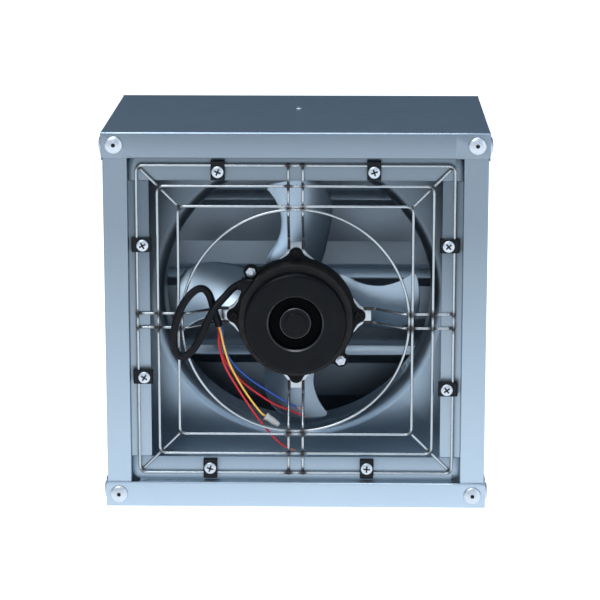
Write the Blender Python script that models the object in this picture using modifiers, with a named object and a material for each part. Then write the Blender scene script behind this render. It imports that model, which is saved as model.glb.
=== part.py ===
"""Wall exhaust fan: a square sheet steel box with a wire guard that carries the motor,
an orifice plate, a four-blade impeller and a gravity shutter behind it.

X runs to the right seen from the guard side, Y from the guard to the shutter, Z up.
The origin is the middle of the underside. Depths are measured from the front face.
"""
import math

import bmesh
import bpy
from mathutils import Matrix, Vector

MM = 0.001

# Casing
CASE_WIDTH = 400 * MM
CASE_HEIGHT = 400 * MM
CASE_DEPTH = 270 * MM
SHEET = 1.2 * MM
FIT_GAP = 0.3 * MM
OVERRUN = 5 * MM
LIP_WIDTH = 27 * MM
RETURN_DEPTH = 12 * MM
TOP_FLANGE = 25 * MM
SIDE_FLANGE = 21 * MM
FLANGE_RELIEF = 8 * MM
CORNER_GAP = 0.5 * MM
TAB_HEIGHT = 30 * MM
TAB_NOTCH = 3 * MM
REAR_LIP = 15 * MM
BEND_RADIUS = 1.8 * MM
BEND_STEPS = 2
LIP_CORNER = 4 * MM
CORNER_STEPS = 2
MERGE = 0.01 * MM

# Orifice plate with its bell mouth
ORIFICE_DEPTH = 126 * MM
ORIFICE_SKIRT = 52 * MM
ORIFICE_CORNER = 6 * MM
ORIFICE_CORNER_STEPS = 2
BELL_MOUTH_INSET = 40 * MM
BELL_CURL = 14 * MM
BELL_STEPS = 36
BELL_CURL_STEPS = 3

# Wire guard
WIRE_RADIUS = 1.5 * MM
WELD_SINK = 0.7 * MM
OUTER_WIRE_INSET = 8.5 * MM
MIDDLE_WIRE_SHARE = 0.1734
INNER_WIRE_SHARE = 0.296
SQUARE_CORNER = 7 * MM
CIRCLE_STEPS = 36
PAIR_HALF = 7.5 * MM
PAIR_OVERHANG = 2 * MM
PAIR_BEND_RADIUS = 10 * MM
PAIR_SLOPE_INSET = 4.5 * MM
PAIR_TAB_CLEARANCE = 2 * MM
WIRE_BEND_STEPS = 2
WIRE_SIDES = 1

# Motor, depths from the front face
CAP_FRONT = -5 * MM
CAP_RADIUS = 53.4 * MM
CAP_EDGE_ROUND = 4.4 * MM
CAP_WALL = 3 * MM
CAP_GROOVE_FRONT = 6.5 * MM
CAP_GROOVE = 1.3 * MM
CAP_REAR = 10.2 * MM
CAP_RECESS_RADIUS = 28 * MM
CAP_RECESS_CHAMFER = 1.6 * MM
CAP_RECESS_FLOOR = 5 * MM
CAP_BOSS_RADIUS = 16.5 * MM
CAP_BOSS_STEP_RADIUS = 11 * MM
CAP_BOSS_FRONT = -3.6 * MM
CAP_BOSS_STEP = 1.2 * MM
TURN_STEPS = 24
INNER_STEPS = 20
SHAFT_STEPS = 12
EDGE_STEPS = 3

BEARING_OUTER = 15 * MM
BEARING_WIDTH = 9 * MM
SHAFT_RADIUS = 5 * MM

STATOR_RADIUS = 59.5 * MM
STATOR_BORE = 31.6 * MM
STATOR_REAR = 32.7 * MM
WINDING_OUTER = 48 * MM
WINDING_INNER = 35 * MM
WINDING_OVERHANG = 8 * MM
ROTOR_AIR_GAP = 0.4 * MM

FLANGE_RADIUS = 63 * MM
FLANGE_THICKNESS = 2.7 * MM
EAR_CIRCLE = 65.6 * MM
EAR_RADIUS = 7.6 * MM
EAR_ROOT_HALF = 15 * MM
EAR_SHOULDER_HALF = 9.6 * MM
EAR_SHOULDER = 66 * MM
LUG_CIRCLE = 66.6 * MM
LUG_RADIUS = 8.2 * MM
LUG_ROOT_HALF = 13 * MM
LUG_ANGLES = (math.radians(135), math.radians(-45))
EAR_STEPS = 4
FLANGE_STEPS = 3
REAR_BELL_RADIUS = 53 * MM
REAR_BELL_WALL = 3 * MM
REAR_BELL_END = 66 * MM
REAR_BELL_ROUND = 6 * MM
REAR_POCKET_FRONT = 58 * MM
REAR_POCKET_END = 67.6 * MM
REAR_BOSS_END = 70 * MM
REAR_BOSS_WALL = 2 * MM
SHAFT_HOLE = 7 * MM
HOOD_LENGTH = 18 * MM
HOOD_REACH = 57 * MM
HOOD_WIDTH = 12 * MM
HOOD_HEIGHT = 13.6 * MM
HOOD_LEVEL = 34.6 * MM

# Bracket that joins the motor to the guard wires
BRACKET_THICKNESS = 2 * MM
BRACKET_INNER = 54 * MM
BRACKET_OUTER = 62.5 * MM
BRACKET_TAB_REACH = 79 * MM
BRACKET_FLARE_REACH = 70.6 * MM
BRACKET_FLARE_HALF = 9.8 * MM
BRACKET_FLARE_ROOT_HALF = 20 * MM

# Fasteners
EAR_SCREW_RADIUS = 2.3 * MM
EAR_SCREW_HEAD = 4.6 * MM
EAR_SCREW_HEAD_HEIGHT = 2.6 * MM
SOCKET_RADIUS = 2.1 * MM
SOCKET_DEPTH = 1.6 * MM
SCREW_TAIL = 3 * MM
TIE_BOLT_RADIUS = 3 * MM
TIE_NUT_ACROSS_CORNERS = 11.4 * MM
TIE_NUT_HEIGHT = 4.6 * MM
TIE_BOLT_PROUD = 1.6 * MM
RIVET_HEAD = 9.3 * MM
RIVET_HEIGHT = 2.8 * MM
RIVET_SHANK = 2.7 * MM
RIVET_BULB = 4.2 * MM
RIVET_BULB_LENGTH = 4 * MM
RIVET_HOLE = 2 * MM
RIVET_HOLE_DEPTH = 2.2 * MM
RIVET_STEPS = 8
RIVET_CROWN_STEPS = 2
TOP_RIVET_SETBACK = 41 * MM
TOP_RIVET_HEAD = 5 * MM
TOP_RIVET_HEIGHT = 1.4 * MM
TOP_RIVET_HOLE = 1.2 * MM
TOP_RIVET_HOLE_DEPTH = 1 * MM
SIDE_RIVET_DEPTH = 15 * MM
SCREW_STEPS = 8
HOLE_STEPS = 6

# Clips over the outer wire
CLIP_WIDTH = 14.5 * MM
CLIP_INWARD = 8.9 * MM
CLIP_OUTWARD = 11.5 * MM
CLIP_FRONT = 3.4 * MM
CLIP_CHAMFER = 1.5 * MM
CLIP_SCREW_INSET = 14.7 * MM
CLIP_SCREW_HEAD = 6.2 * MM
CLIP_SCREW_HEAD_HEIGHT = 3 * MM
CLIP_SCREW_SHANK = 2 * MM
CLIP_SCREW_TAIL = 4 * MM
TOP_CLIP_PLACES = (-80 * MM, 81 * MM)
LEFT_CLIP_PLACES = (81 * MM, -60 * MM)
RIGHT_CLIP_PLACES = (81 * MM, -72 * MM)
BOTTOM_CLIP_PLACES = (-90 * MM, 75 * MM)

# Impeller
BLADES = 4
TIP_CLEARANCE = 14 * MM
BLADE_ROOT_RADIUS = 38 * MM
BLADE_SHEET = 1.5 * MM
BLADE_SETBACK = 13 * MM
BLADE_CAMBER = 4 * MM
ROOT_PITCH = math.radians(38)
TIP_PITCH = math.radians(21)
BLADE_SPAN_STEPS = 9
BLADE_CHORD_STEPS = 4
LEADING_RADIUS_SHARES = (0.288, 0.42, 0.53, 0.67, 0.82, 0.955, 1.0)
LEADING_ANGLES = tuple(math.radians(a) for a in (44, 37, 18.5, 11.4, 11.4, 14.2, 15.0))
TRAILING_RADIUS_SHARES = (0.288, 0.42, 0.53, 0.74, 0.834, 0.918, 0.97, 1.0)
TRAILING_ANGLES = tuple(math.radians(a) for a in (-36, -31, -27, -21.9, -18.9, -15.1, -11.8, -8.5))
ARM_SHEET = 2.5 * MM
ARM_REACH = 76 * MM
ARM_ROOT_RADIUS = 10 * MM
ARM_HALF_ANGLES = (math.radians(50), math.radians(12))
ARM_SPAN_STEPS = 3
ARM_CHORD_STEPS = 2
HUB_RADIUS = 14 * MM
HUB_AHEAD = 13 * MM
HUB_BEHIND = 15 * MM
SHAFT_FRONT = 1 * MM
SHAFT_OVERHANG = 6 * MM

# Gravity shutter
LOUVRES = 4
LOUVRE_SHEET = 0.8 * MM
LOUVRE_SETBACK = 15 * MM
LOUVRE_SIDE_GAP = 2.2 * MM
LOUVRE_TOP_INSET = 25 * MM
LOUVRE_BOTTOM_CLEARANCE = 1.5 * MM
LOUVRE_OVERLAP_START = 3 * MM
HEM_TOP = 10.3 * MM
HEM_BOTTOM = 10.7 * MM
HEM_BULGE = 7 * MM
HEM_TOP_SETBACK = 3 * MM
CREASE_DROP = 49 * MM
CREASE_OFFSET = 1 * MM
LOWER_LIP_OFFSET = 5 * MM
LOWER_LIP_HEIGHT = 8 * MM
ROD_RADIUS = 2 * MM
ROD_OVERHANG = 3.5 * MM
ROD_HOLE_CLEARANCE = 0.4 * MM
CHANNEL_SHEET = 1.2 * MM
CHANNEL_DEPTH = 38 * MM
CHANNEL_FOOT_SHARE = 0.26
CHANNEL_END_GAP = 6 * MM

# Cable
CABLE_RADIUS = 4 * MM
LEAD_RADIUS = 1.1 * MM
CABLE_POINT_STEP = 9 * MM
LEAD_POINT_STEP = 6.6 * MM
CRIMP_RADIUS = 4.2 * MM
CRIMP_TIP_RADIUS = 2.6 * MM
CRIMP_STEPS = 10

# Routes in millimetres: to the right of the axis, behind the front face, above a level that
# lies ROUTE_AXIS_MM under the axis
ROUTE_AXIS_MM = 200
CABLE_ROUTE_MM = (
    (-57.3, 24.0, 234.6), (-61.0, 24.0, 234.6), (-66.7, 20.6, 231.4), (-73.7, 14.6, 224.8),
    (-84.0, 9.0, 213.6), (-92.2, 5.0, 199.5), (-99.4, 0.5, 183.3), (-106.6, -2.6, 171.6),
    (-115.8, -4.2, 164.4), (-123.4, -4.6, 168.0), (-126.4, -4.4, 179.0), (-125.6, -4.0, 192.7),
    (-122.4, -3.6, 206.5), (-116.6, -2.5, 219.6), (-109.3, -0.5, 229.4), (-102.2, 3.0, 234.6),
    (-96.2, 7.5, 234.4), (-91.3, 12.5, 229.0), (-88.4, 16.5, 220.6), (-86.1, 19.5, 210.3),
    (-83.1, 21.5, 200.2), (-80.6, 22.5, 191.2),
)
BLUE_ROUTE_MM = (
    (-78.8, 22.5, 191.3), (-77.2, 23.2, 185.6), (-75.8, 25.2, 170.0), (-67.0, 27.3, 150.4),
    (-48.6, 29.0, 132.0), (-27.5, 30.5, 117.5), (-11.7, 31.0, 107.6), (1.0, 31.5, 101.0),
)
RED_LONG_ROUTE_MM = (
    (-80.5, 24.3, 191.0), (-78.9, 25.0, 185.3), (-79.4, 27.6, 166.0), (-71.8, 29.5, 147.1),
    (-56.1, 31.8, 127.6), (-36.1, 33.4, 111.8), (-21.3, 34.0, 102.5), (-3.3, 34.5, 95.4),
    (5.2, 34.5, 91.6),
)
RED_SHORT_ROUTE_MM = (
    (-82.2, 22.5, 190.3), (-80.6, 23.2, 184.6), (-80.9, 22.0, 170.7), (-74.9, 20.6, 149.3),
    (-63.2, 19.4, 127.9), (-49.5, 18.6, 106.4), (-36.7, 18.0, 88.1), (-22.5, 17.0, 71.2),
    (-12.4, 16.6, 62.6), (-5.0, 16.5, 59.4),
)
YELLOW_ROUTE_MM = (
    (-80.4, 20.7, 190.6), (-78.8, 21.3, 184.9), (-76.0, 21.4, 171.4), (-69.8, 22.6, 150.2),
    (-59.0, 23.7, 128.6), (-46.8, 24.2, 109.4), (-36.4, 24.2, 96.0), (-32.6, 24.2, 93.4),
)
CRIMP_START_MM = (-32.3, 24.2, 93.2)
CRIMP_END_MM = (-17.6, 24.2, 83.2)

FRONT_Y = -CASE_DEPTH / 2
REAR_Y = CASE_DEPTH / 2
HALF_WIDTH = CASE_WIDTH / 2
HALF_HEIGHT = CASE_HEIGHT / 2
AXIS_HEIGHT = HALF_HEIGHT
OPENING_HALF_WIDTH = HALF_WIDTH - LIP_WIDTH
OPENING_HALF_HEIGHT = HALF_HEIGHT - LIP_WIDTH
SIDE_WALL_X = HALF_WIDTH - SHEET - FIT_GAP
BELL_MOUTH_RADIUS = min(HALF_WIDTH, HALF_HEIGHT) - BELL_MOUTH_INSET
THROAT_RADIUS = BELL_MOUTH_RADIUS - BELL_CURL
THROAT_END = ORIFICE_DEPTH + ORIFICE_SKIRT
TOP_RIVET_DEPTH = ORIFICE_DEPTH + TOP_RIVET_SETBACK
WIRE_PITCH = WIRE_RADIUS * 2 + FIT_GAP
WELDED_PITCH = WIRE_RADIUS * 2 - WELD_SINK
WIRE_BACK_DEPTH = RETURN_DEPTH - FIT_GAP - WIRE_RADIUS
WIRE_FRONT_DEPTH = WIRE_BACK_DEPTH - WIRE_PITCH
SMALLER_HALF = min(OPENING_HALF_WIDTH, OPENING_HALF_HEIGHT)
MIDDLE_WIRE_INSET = SMALLER_HALF * MIDDLE_WIRE_SHARE
INNER_WIRE_INSET = SMALLER_HALF * INNER_WIRE_SHARE
GUARD_CIRCLE = SMALLER_HALF - INNER_WIRE_INSET - WIRE_PITCH
TIP_RADIUS = THROAT_RADIUS - TIP_CLEARANCE
BLADE_DEPTH = ORIFICE_DEPTH - BLADE_SETBACK
HUB_FRONT = BLADE_DEPTH - HUB_AHEAD
HUB_REAR = BLADE_DEPTH + HUB_BEHIND
SHAFT_REAR = HUB_REAR + SHAFT_OVERHANG
LOUVRE_PLANE = CASE_DEPTH - LOUVRE_SETBACK
LOUVRE_TOP_PIVOT = CASE_HEIGHT - LOUVRE_TOP_INSET
CHANNEL_FRONT = CASE_DEPTH - CHANNEL_DEPTH
CHANNEL_FOOT = (CHANNEL_FRONT - THROAT_END) * CHANNEL_FOOT_SHARE
STATOR_FRONT = CAP_REAR + FIT_GAP
FLANGE_FRONT = STATOR_REAR + FIT_GAP
FLANGE_REAR = FLANGE_FRONT + FLANGE_THICKNESS
BRACKET_FRONT = FLANGE_REAR + FIT_GAP
BRACKET_DEPTH = BRACKET_FRONT + BRACKET_THICKNESS / 2
QUARTER = math.pi / 2


def material(name, colour, roughness, metallic):
    """Principled material of one plain finish."""
    made = bpy.data.materials.new(name)
    made.use_nodes = True
    shader = made.node_tree.nodes["Principled BSDF"]
    shader.inputs["Base Color"].default_value = (*colour, 1.0)
    shader.inputs["Roughness"].default_value = roughness
    shader.inputs["Metallic"].default_value = metallic
    made.diffuse_color = (*colour, 1.0)
    return made


def new_object(name, mesh, collection, finish=None):
    """Object around a mesh, linked to its collection."""
    made = bpy.data.objects.new(name, mesh)
    collection.objects.link(made)
    if finish:
        mesh.materials.clear()
        mesh.materials.append(finish)
    return made


def mesh_from(bm, name):
    """Mesh made from a bmesh, which is freed."""
    mesh = bpy.data.meshes.new(name)
    bm.to_mesh(mesh)
    bm.free()
    return mesh


def smooth_round(obj):
    """Shade a round piece smooth up to its sharp edges."""
    obj.data.shade_smooth()
    obj.data.set_sharp_from_angle(angle=math.radians(32))


def hide_tool(obj):
    """Mark a cutter or a joined shape as a guide."""
    obj.hide_render = True
    obj.display_type = "WIRE"


def boolean(obj, tool, operation):
    """Cut or join obj with tool, which becomes a guide."""
    hide_tool(tool)
    step = obj.modifiers.new(operation.title(), "BOOLEAN")
    step.operation = operation
    step.solver = "EXACT"
    step.object = tool


def depth_y(depth):
    """Y of a plane that lies depth behind the front face."""
    return FRONT_Y + depth


# Folded sheet

def sheet_grid(xs, ys, place):
    """Open sheet with a vertex at every pair of the stations, put where place says."""
    bm = bmesh.new()
    bmesh.ops.create_grid(bm, x_segments=len(xs) - 1, y_segments=len(ys) - 1, size=1)
    for vert in bm.verts:
        column = round((vert.co.x + 1) / 2 * (len(xs) - 1))
        row = round((vert.co.y + 1) / 2 * (len(ys) - 1))
        vert.co = place(xs[column], ys[row])
    return bm


def near(value, target):
    """True where two lengths agree within the merge distance."""
    return abs(value - target) < MERGE


def fold(bm, picked, shift):
    """Extrude the free edges whose two ends picked accepts, as a new wall of the sheet."""
    edges = [e for e in bm.edges if e.is_boundary and all(picked(v.co) for v in e.verts)]
    made = bmesh.ops.extrude_edge_only(bm, edges=edges)
    moved = [g for g in made["geom"] if isinstance(g, bmesh.types.BMVert)]
    bmesh.ops.translate(bm, verts=moved, vec=shift)


def round_bends(bm, skipped, radius):
    """Give every fold its bend radius, except where skipped accepts the edge's middle."""
    edges = []
    for edge in bm.edges:
        if len(edge.link_faces) != 2 or edge.calc_face_angle() < math.radians(45):
            continue
        if not skipped((edge.verts[0].co + edge.verts[1].co) / 2):
            edges.append(edge)
    bmesh.ops.bevel(bm, geom=edges, offset=radius, segments=BEND_STEPS, profile=0.5,
                    affect="EDGES", clamp_overlap=True)


def round_corners(bm, picked, radius):
    """Round the free corners that picked accepts."""
    verts = [v for v in bm.verts if v.is_boundary and picked(v.co)]
    if verts:
        bmesh.ops.bevel(bm, geom=verts, offset=radius, segments=CORNER_STEPS, profile=0.5,
                        affect="VERTICES")


def face_outwards(bm, is_wall, outward):
    """Turn the whole sheet so that its main wall faces outward."""
    bmesh.ops.recalc_face_normals(bm, faces=bm.faces[:])
    walls = [f for f in bm.faces if is_wall(f.calc_center_median())]
    largest = max(walls, key=lambda f: f.calc_area())
    if largest.normal.dot(outward) < 0:
        bmesh.ops.reverse_faces(bm, faces=bm.faces[:])


def thicken(obj, thickness, offset=-1.0):
    """Give an open sheet its thickness, inward by default."""
    step = obj.modifiers.new("Sheet", "SOLIDIFY")
    step.thickness = thickness
    step.offset = offset
    step.use_even_offset = True
    step.use_quality_normals = True


def drill(obj, holes):
    """Cut round holes: each is a centre, an axis, a radius and a length."""
    bm = bmesh.new()
    for centre, axis, radius, length in holes:
        turn = Vector((0, 0, 1)).rotation_difference(Vector(axis)).to_matrix().to_4x4()
        corner = radius / math.cos(math.pi / HOLE_STEPS)
        bmesh.ops.create_cone(bm, cap_ends=True, segments=HOLE_STEPS, radius1=corner,
                              radius2=corner, depth=length,
                              matrix=Matrix.Translation(centre) @ turn)
    tool = new_object(obj.name + "_holes", mesh_from(bm, obj.name + "_holes"), TOOLS)
    boolean(obj, tool, "DIFFERENCE")


def rivet_centres():
    """Middle of the four corner rivets on the front lips."""
    inset = LIP_WIDTH / 2
    return [(side * (HALF_WIDTH - inset), FRONT_Y, AXIS_HEIGHT + level * (HALF_HEIGHT - inset))
            for side in (-1, 1) for level in (1, -1)]


def side_rivet_centres():
    """Middle of the four rivets on the side walls behind the front corners."""
    inset = TAB_HEIGHT / 2
    return [(side * HALF_WIDTH, depth_y(SIDE_RIVET_DEPTH),
             AXIS_HEIGHT + level * (HALF_HEIGHT - inset))
            for side in (-1, 1) for level in (1, -1)]


def clip_places():
    """Name, centre of the screw and outward direction of each clip, round the opening."""
    across = OPENING_HALF_WIDTH - CLIP_SCREW_INSET
    up = OPENING_HALF_HEIGHT - CLIP_SCREW_INSET
    places = []
    for lateral in TOP_CLIP_PLACES:
        places.append((Vector((lateral, 0, up)), QUARTER))
    for level in RIGHT_CLIP_PLACES:
        places.append((Vector((across, 0, level)), 0))
    for lateral in BOTTOM_CLIP_PLACES:
        places.append((Vector((lateral, 0, -up)), -QUARTER))
    for level in LEFT_CLIP_PLACES:
        places.append((Vector((-across, 0, level)), math.pi))
    centre = Vector((0, depth_y(RETURN_DEPTH), AXIS_HEIGHT))
    return [(centre + place, angle) for place, angle in places]


def casing_holes():
    """Every hole that a rivet or a clip screw needs in the folded panels."""
    wall = (SHEET + FIT_GAP) * 2 + OVERRUN
    holes = [(Vector(c), (0, 1, 0), RIVET_SHANK + FIT_GAP, wall) for c in rivet_centres()]
    holes += [(Vector(c), (1, 0, 0), RIVET_SHANK + FIT_GAP, wall) for c in side_rivet_centres()]
    holes += [(place, (0, 1, 0), CLIP_SCREW_SHANK + FIT_GAP, wall) for place, _ in clip_places()]
    return holes


def holes_between(low, high):
    """The casing holes whose centre lies in a box."""
    return [h for h in casing_holes()
            if all(low[i] - MERGE <= h[0][i] <= high[i] + MERGE for i in range(3))]


def level_panel(name, sign, finish):
    """Top (sign 1) or bottom (sign -1) panel: wall, lips, side tabs, return and flange."""
    wall_z = AXIS_HEIGHT + sign * HALF_HEIGHT
    lip_z = AXIS_HEIGHT + sign * OPENING_HALF_HEIGHT
    flange_half = OPENING_HALF_WIDTH - CORNER_GAP
    return_half = flange_half - FLANGE_RELIEF
    flange_y = depth_y(RETURN_DEPTH)
    flange_z = lip_z - sign * TOP_FLANGE
    xs = (-HALF_WIDTH, -return_half, return_half, HALF_WIDTH)
    ys = (FRONT_Y, FRONT_Y + TAB_NOTCH, REAR_Y - TAB_NOTCH, REAR_Y)
    bm = sheet_grid(xs, ys, lambda x, y: Vector((x, y, wall_z)))
    fold(bm, lambda p: near(p.y, FRONT_Y), (0, 0, lip_z - wall_z))
    fold(bm, lambda p: near(p.z, lip_z) and abs(p.x) < return_half + MERGE, (0, RETURN_DEPTH, 0))
    fold(bm, lambda p: near(p.y, flange_y), (0, 0, -sign * TOP_FLANGE))
    for side in (-1, 1):
        fold(bm, lambda p: near(p.x, side * return_half) and near(p.y, flange_y),
             (side * FLANGE_RELIEF, 0, 0))
        fold(bm, lambda p: near(p.x, side * HALF_WIDTH) and near(p.z, wall_z)
             and FRONT_Y + MERGE < p.y < REAR_Y - MERGE, (0, 0, -sign * TAB_HEIGHT))
    fold(bm, lambda p: near(p.y, REAR_Y) and near(p.z, wall_z), (0, 0, -sign * REAR_LIP))
    bmesh.ops.remove_doubles(bm, verts=bm.verts[:], dist=MERGE)
    round_corners(bm, lambda p: near(abs(p.x), HALF_WIDTH) and near(p.y, FRONT_Y)
                  and near(p.z, lip_z), LIP_CORNER)
    round_corners(bm, lambda p: near(abs(p.x), flange_half) and near(p.y, flange_y)
                  and near(p.z, lip_z), FLANGE_RELIEF - CORNER_GAP)
    round_bends(bm, lambda p: p.y > flange_y - MERGE and abs(p.z - lip_z) < MERGE
                and p.y < flange_y + MERGE, BEND_RADIUS)
    face_outwards(bm, lambda p: near(p.z, wall_z), Vector((0, 0, sign)))
    panel = new_object(name, mesh_from(bm, name), PARTS, finish)
    thicken(panel, SHEET)
    holes = holes_between((-HALF_WIDTH, FRONT_Y, min(wall_z, flange_z)),
                          (HALF_WIDTH, REAR_Y, max(wall_z, flange_z)))
    drill(panel, holes)
    return panel


def side_panel(name, side, finish):
    """Side panel between the two level panels: wall, lips, return and flange."""
    wall_x = side * SIDE_WALL_X
    lip_x = side * OPENING_HALF_WIDTH
    flange_x = lip_x - side * SIDE_FLANGE
    front = FRONT_Y + SHEET + FIT_GAP
    rear = REAR_Y - SHEET - FIT_GAP
    flange_y = depth_y(RETURN_DEPTH)
    half_height = HALF_HEIGHT - SHEET - FIT_GAP
    return_half = OPENING_HALF_HEIGHT - CORNER_GAP
    flange_half = OPENING_HALF_HEIGHT - TOP_FLANGE - FIT_GAP
    levels = [AXIS_HEIGHT + z for z in (-half_height, -return_half, -flange_half,
                                        flange_half, return_half, half_height)]
    bm = sheet_grid((front, rear), levels, lambda y, z: Vector((wall_x, y, z)))
    fold(bm, lambda p: near(p.y, front), (lip_x - wall_x, 0, 0))
    fold(bm, lambda p: near(p.x, lip_x) and abs(p.z - AXIS_HEIGHT) < return_half + MERGE,
         (0, flange_y - front, 0))
    fold(bm, lambda p: near(p.y, flange_y) and abs(p.z - AXIS_HEIGHT) < flange_half + MERGE,
         (flange_x - lip_x, 0, 0))
    fold(bm, lambda p: near(p.y, rear), (side * (HALF_WIDTH - REAR_LIP) - wall_x, 0, 0))
    round_bends(bm, lambda p: near(p.y, flange_y), BEND_RADIUS)
    face_outwards(bm, lambda p: near(p.x, wall_x), Vector((side, 0, 0)))
    panel = new_object(name, mesh_from(bm, name), PARTS, finish)
    thicken(panel, SHEET)
    drill(panel, holes_between((min(side * HALF_WIDTH, flange_x), FRONT_Y, 0),
                               (max(side * HALF_WIDTH, flange_x), REAR_Y, CASE_HEIGHT)))
    return panel


# Turned pieces and flat plates

def turned(name, profile, steps, finish, collection, closed=True):
    """Piece turned about the fan's axis from (radius, depth) points, front outer side first."""
    bm = bmesh.new()
    verts = [bm.verts.new((radius, 0, -depth)) for radius, depth in profile]
    for first, second in zip(verts, verts[1:]):
        bm.edges.new((first, second))
    if closed:
        bm.edges.new((verts[-1], verts[0]))
    made = new_object(name, mesh_from(bm, name), collection, finish)
    step = made.modifiers.new("Turn", "SCREW")
    step.steps = steps
    step.render_steps = steps
    step.use_merge_vertices = True
    step.merge_threshold = MERGE
    step.use_smooth_shade = False
    made.location = (0, FRONT_Y, AXIS_HEIGHT)
    made.rotation_euler = (QUARTER, 0, 0)
    return made


def arc(centre, radius, start, end, steps):
    """Points on an arc in the profile plane, both ends included."""
    return [(centre[0] + radius * math.cos(start + (end - start) * i / steps),
             centre[1] + radius * math.sin(start + (end - start) * i / steps))
            for i in range(steps + 1)]


def baked(curve_object, collection, finish=None):
    """Closed mesh object made from a curve object, which is removed."""
    bpy.context.view_layer.update()
    graph = bpy.context.evaluated_depsgraph_get()
    mesh = bpy.data.meshes.new_from_object(curve_object.evaluated_get(graph))
    bm = bmesh.new()
    bm.from_mesh(mesh)
    bmesh.ops.remove_doubles(bm, verts=bm.verts[:], dist=MERGE)
    bmesh.ops.recalc_face_normals(bm, faces=bm.faces[:])
    bm.to_mesh(mesh)
    bm.free()
    name = curve_object.name
    place = curve_object.matrix_world.copy()
    curve_object.name = name + "_curve"
    made = new_object(name, mesh, collection, finish)
    made.matrix_world = place
    curve = curve_object.data
    bpy.data.objects.remove(curve_object)
    bpy.data.curves.remove(curve)
    return made


def plate(name, outlines, thickness, depth, finish, collection):
    """Flat plate square to the axis: the first outline is its edge, the rest are holes."""
    curve = bpy.data.curves.new(name, "CURVE")
    curve.dimensions = "2D"
    curve.fill_mode = "BOTH"
    curve.extrude = thickness / 2
    for outline in outlines:
        spline = curve.splines.new("POLY")
        spline.points.add(len(outline) - 1)
        for point, (x, z) in zip(spline.points, outline):
            point.co = (x, z, 0, 1)
        spline.use_cyclic_u = True
    made = bpy.data.objects.new(name, curve)
    collection.objects.link(made)
    made.location = (0, depth_y(depth), AXIS_HEIGHT)
    made.rotation_euler = (QUARTER, 0, 0)
    return baked(made, collection, finish)


def circle_points(centre, radius, steps):
    """Points round a full circle."""
    return arc(centre, radius, 0, 2 * math.pi * (steps - 1) / steps, steps - 1)


def turn_point(point, angle):
    """Point turned about the origin of its plane."""
    x, z = point
    return (x * math.cos(angle) - z * math.sin(angle), x * math.sin(angle) + z * math.cos(angle))


# Wires

def tube(name, paths, radius, collection, finish=None, sides=2, cyclic=False):
    """Round wires along paths of points, as one mesh."""
    curve = bpy.data.curves.new(name, "CURVE")
    curve.dimensions = "3D"
    curve.bevel_depth = radius
    curve.bevel_resolution = sides
    curve.use_fill_caps = True
    curve.render_resolution_u = 0
    for path in paths:
        spline = curve.splines.new("POLY")
        spline.points.add(len(path) - 1)
        for point, place in zip(spline.points, path):
            point.co = (*place, 1)
        spline.use_cyclic_u = cyclic
    made = bpy.data.objects.new(name, curve)
    collection.objects.link(made)
    return made if finish else baked(made, collection)


def filleted(points, radius, steps, cyclic=False):
    """Path with its inner corners replaced by arcs that touch both sides."""
    count = len(points)
    path = []
    for i, corner in enumerate(points):
        corner = Vector(corner)
        if not cyclic and i in (0, count - 1):
            path.append(corner)
            continue
        before = (Vector(points[i - 1]) - corner).normalized()
        after = (Vector(points[(i + 1) % count]) - corner).normalized()
        half = before.angle(after) / 2
        centre = corner + (before + after).normalized() * radius / math.sin(half)
        start = corner + before * radius / math.tan(half) - centre
        end = corner + after * radius / math.tan(half) - centre
        for j in range(steps + 1):
            path.append(centre + start.slerp(end, j / steps).normalized() * radius)
    return path


def guard_point(lateral, radial, depth, angle):
    """Point of the guard on the spoke that leaves the axis at angle."""
    x, z = turn_point((radial, lateral), angle)
    return Vector((x, depth_y(depth), AXIS_HEIGHT + z))


def guard_squares(finish):
    """Three wire squares, welded to the four corner wires behind them."""
    insets = (OUTER_WIRE_INSET, MIDDLE_WIRE_INSET, INNER_WIRE_INSET)
    squares = []
    for inset in insets:
        half_x = OPENING_HALF_WIDTH - inset
        half_z = OPENING_HALF_HEIGHT - inset
        corners = [(x, depth_y(WIRE_FRONT_DEPTH), AXIS_HEIGHT + z) for x, z in (
            (half_x, half_z), (-half_x, half_z), (-half_x, -half_z), (half_x, -half_z))]
        squares.append(filleted(corners, SQUARE_CORNER, WIRE_BEND_STEPS, cyclic=True))
    guard = tube("guard_squares", squares, WIRE_RADIUS, PARTS, sides=WIRE_SIDES, cyclic=True)
    guard.data.materials.clear()
    guard.data.materials.append(finish)
    drawn_in = SQUARE_CORNER * (1 - math.sqrt(0.5))
    corner_wires = []
    for side, level in ((1, 1), (-1, 1), (-1, -1), (1, -1)):
        corner_wires.append([
            Vector((side * (OPENING_HALF_WIDTH - inset - drawn_in),
                    depth_y(WIRE_FRONT_DEPTH + WELDED_PITCH),
                    AXIS_HEIGHT + level * (OPENING_HALF_HEIGHT - inset - drawn_in)))
            for inset in (OUTER_WIRE_INSET, INNER_WIRE_INSET)])
    boolean(guard, tube("guard_corner_tool", corner_wires, WIRE_RADIUS, TOOLS, sides=WIRE_SIDES),
            "UNION")
    return guard


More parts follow.
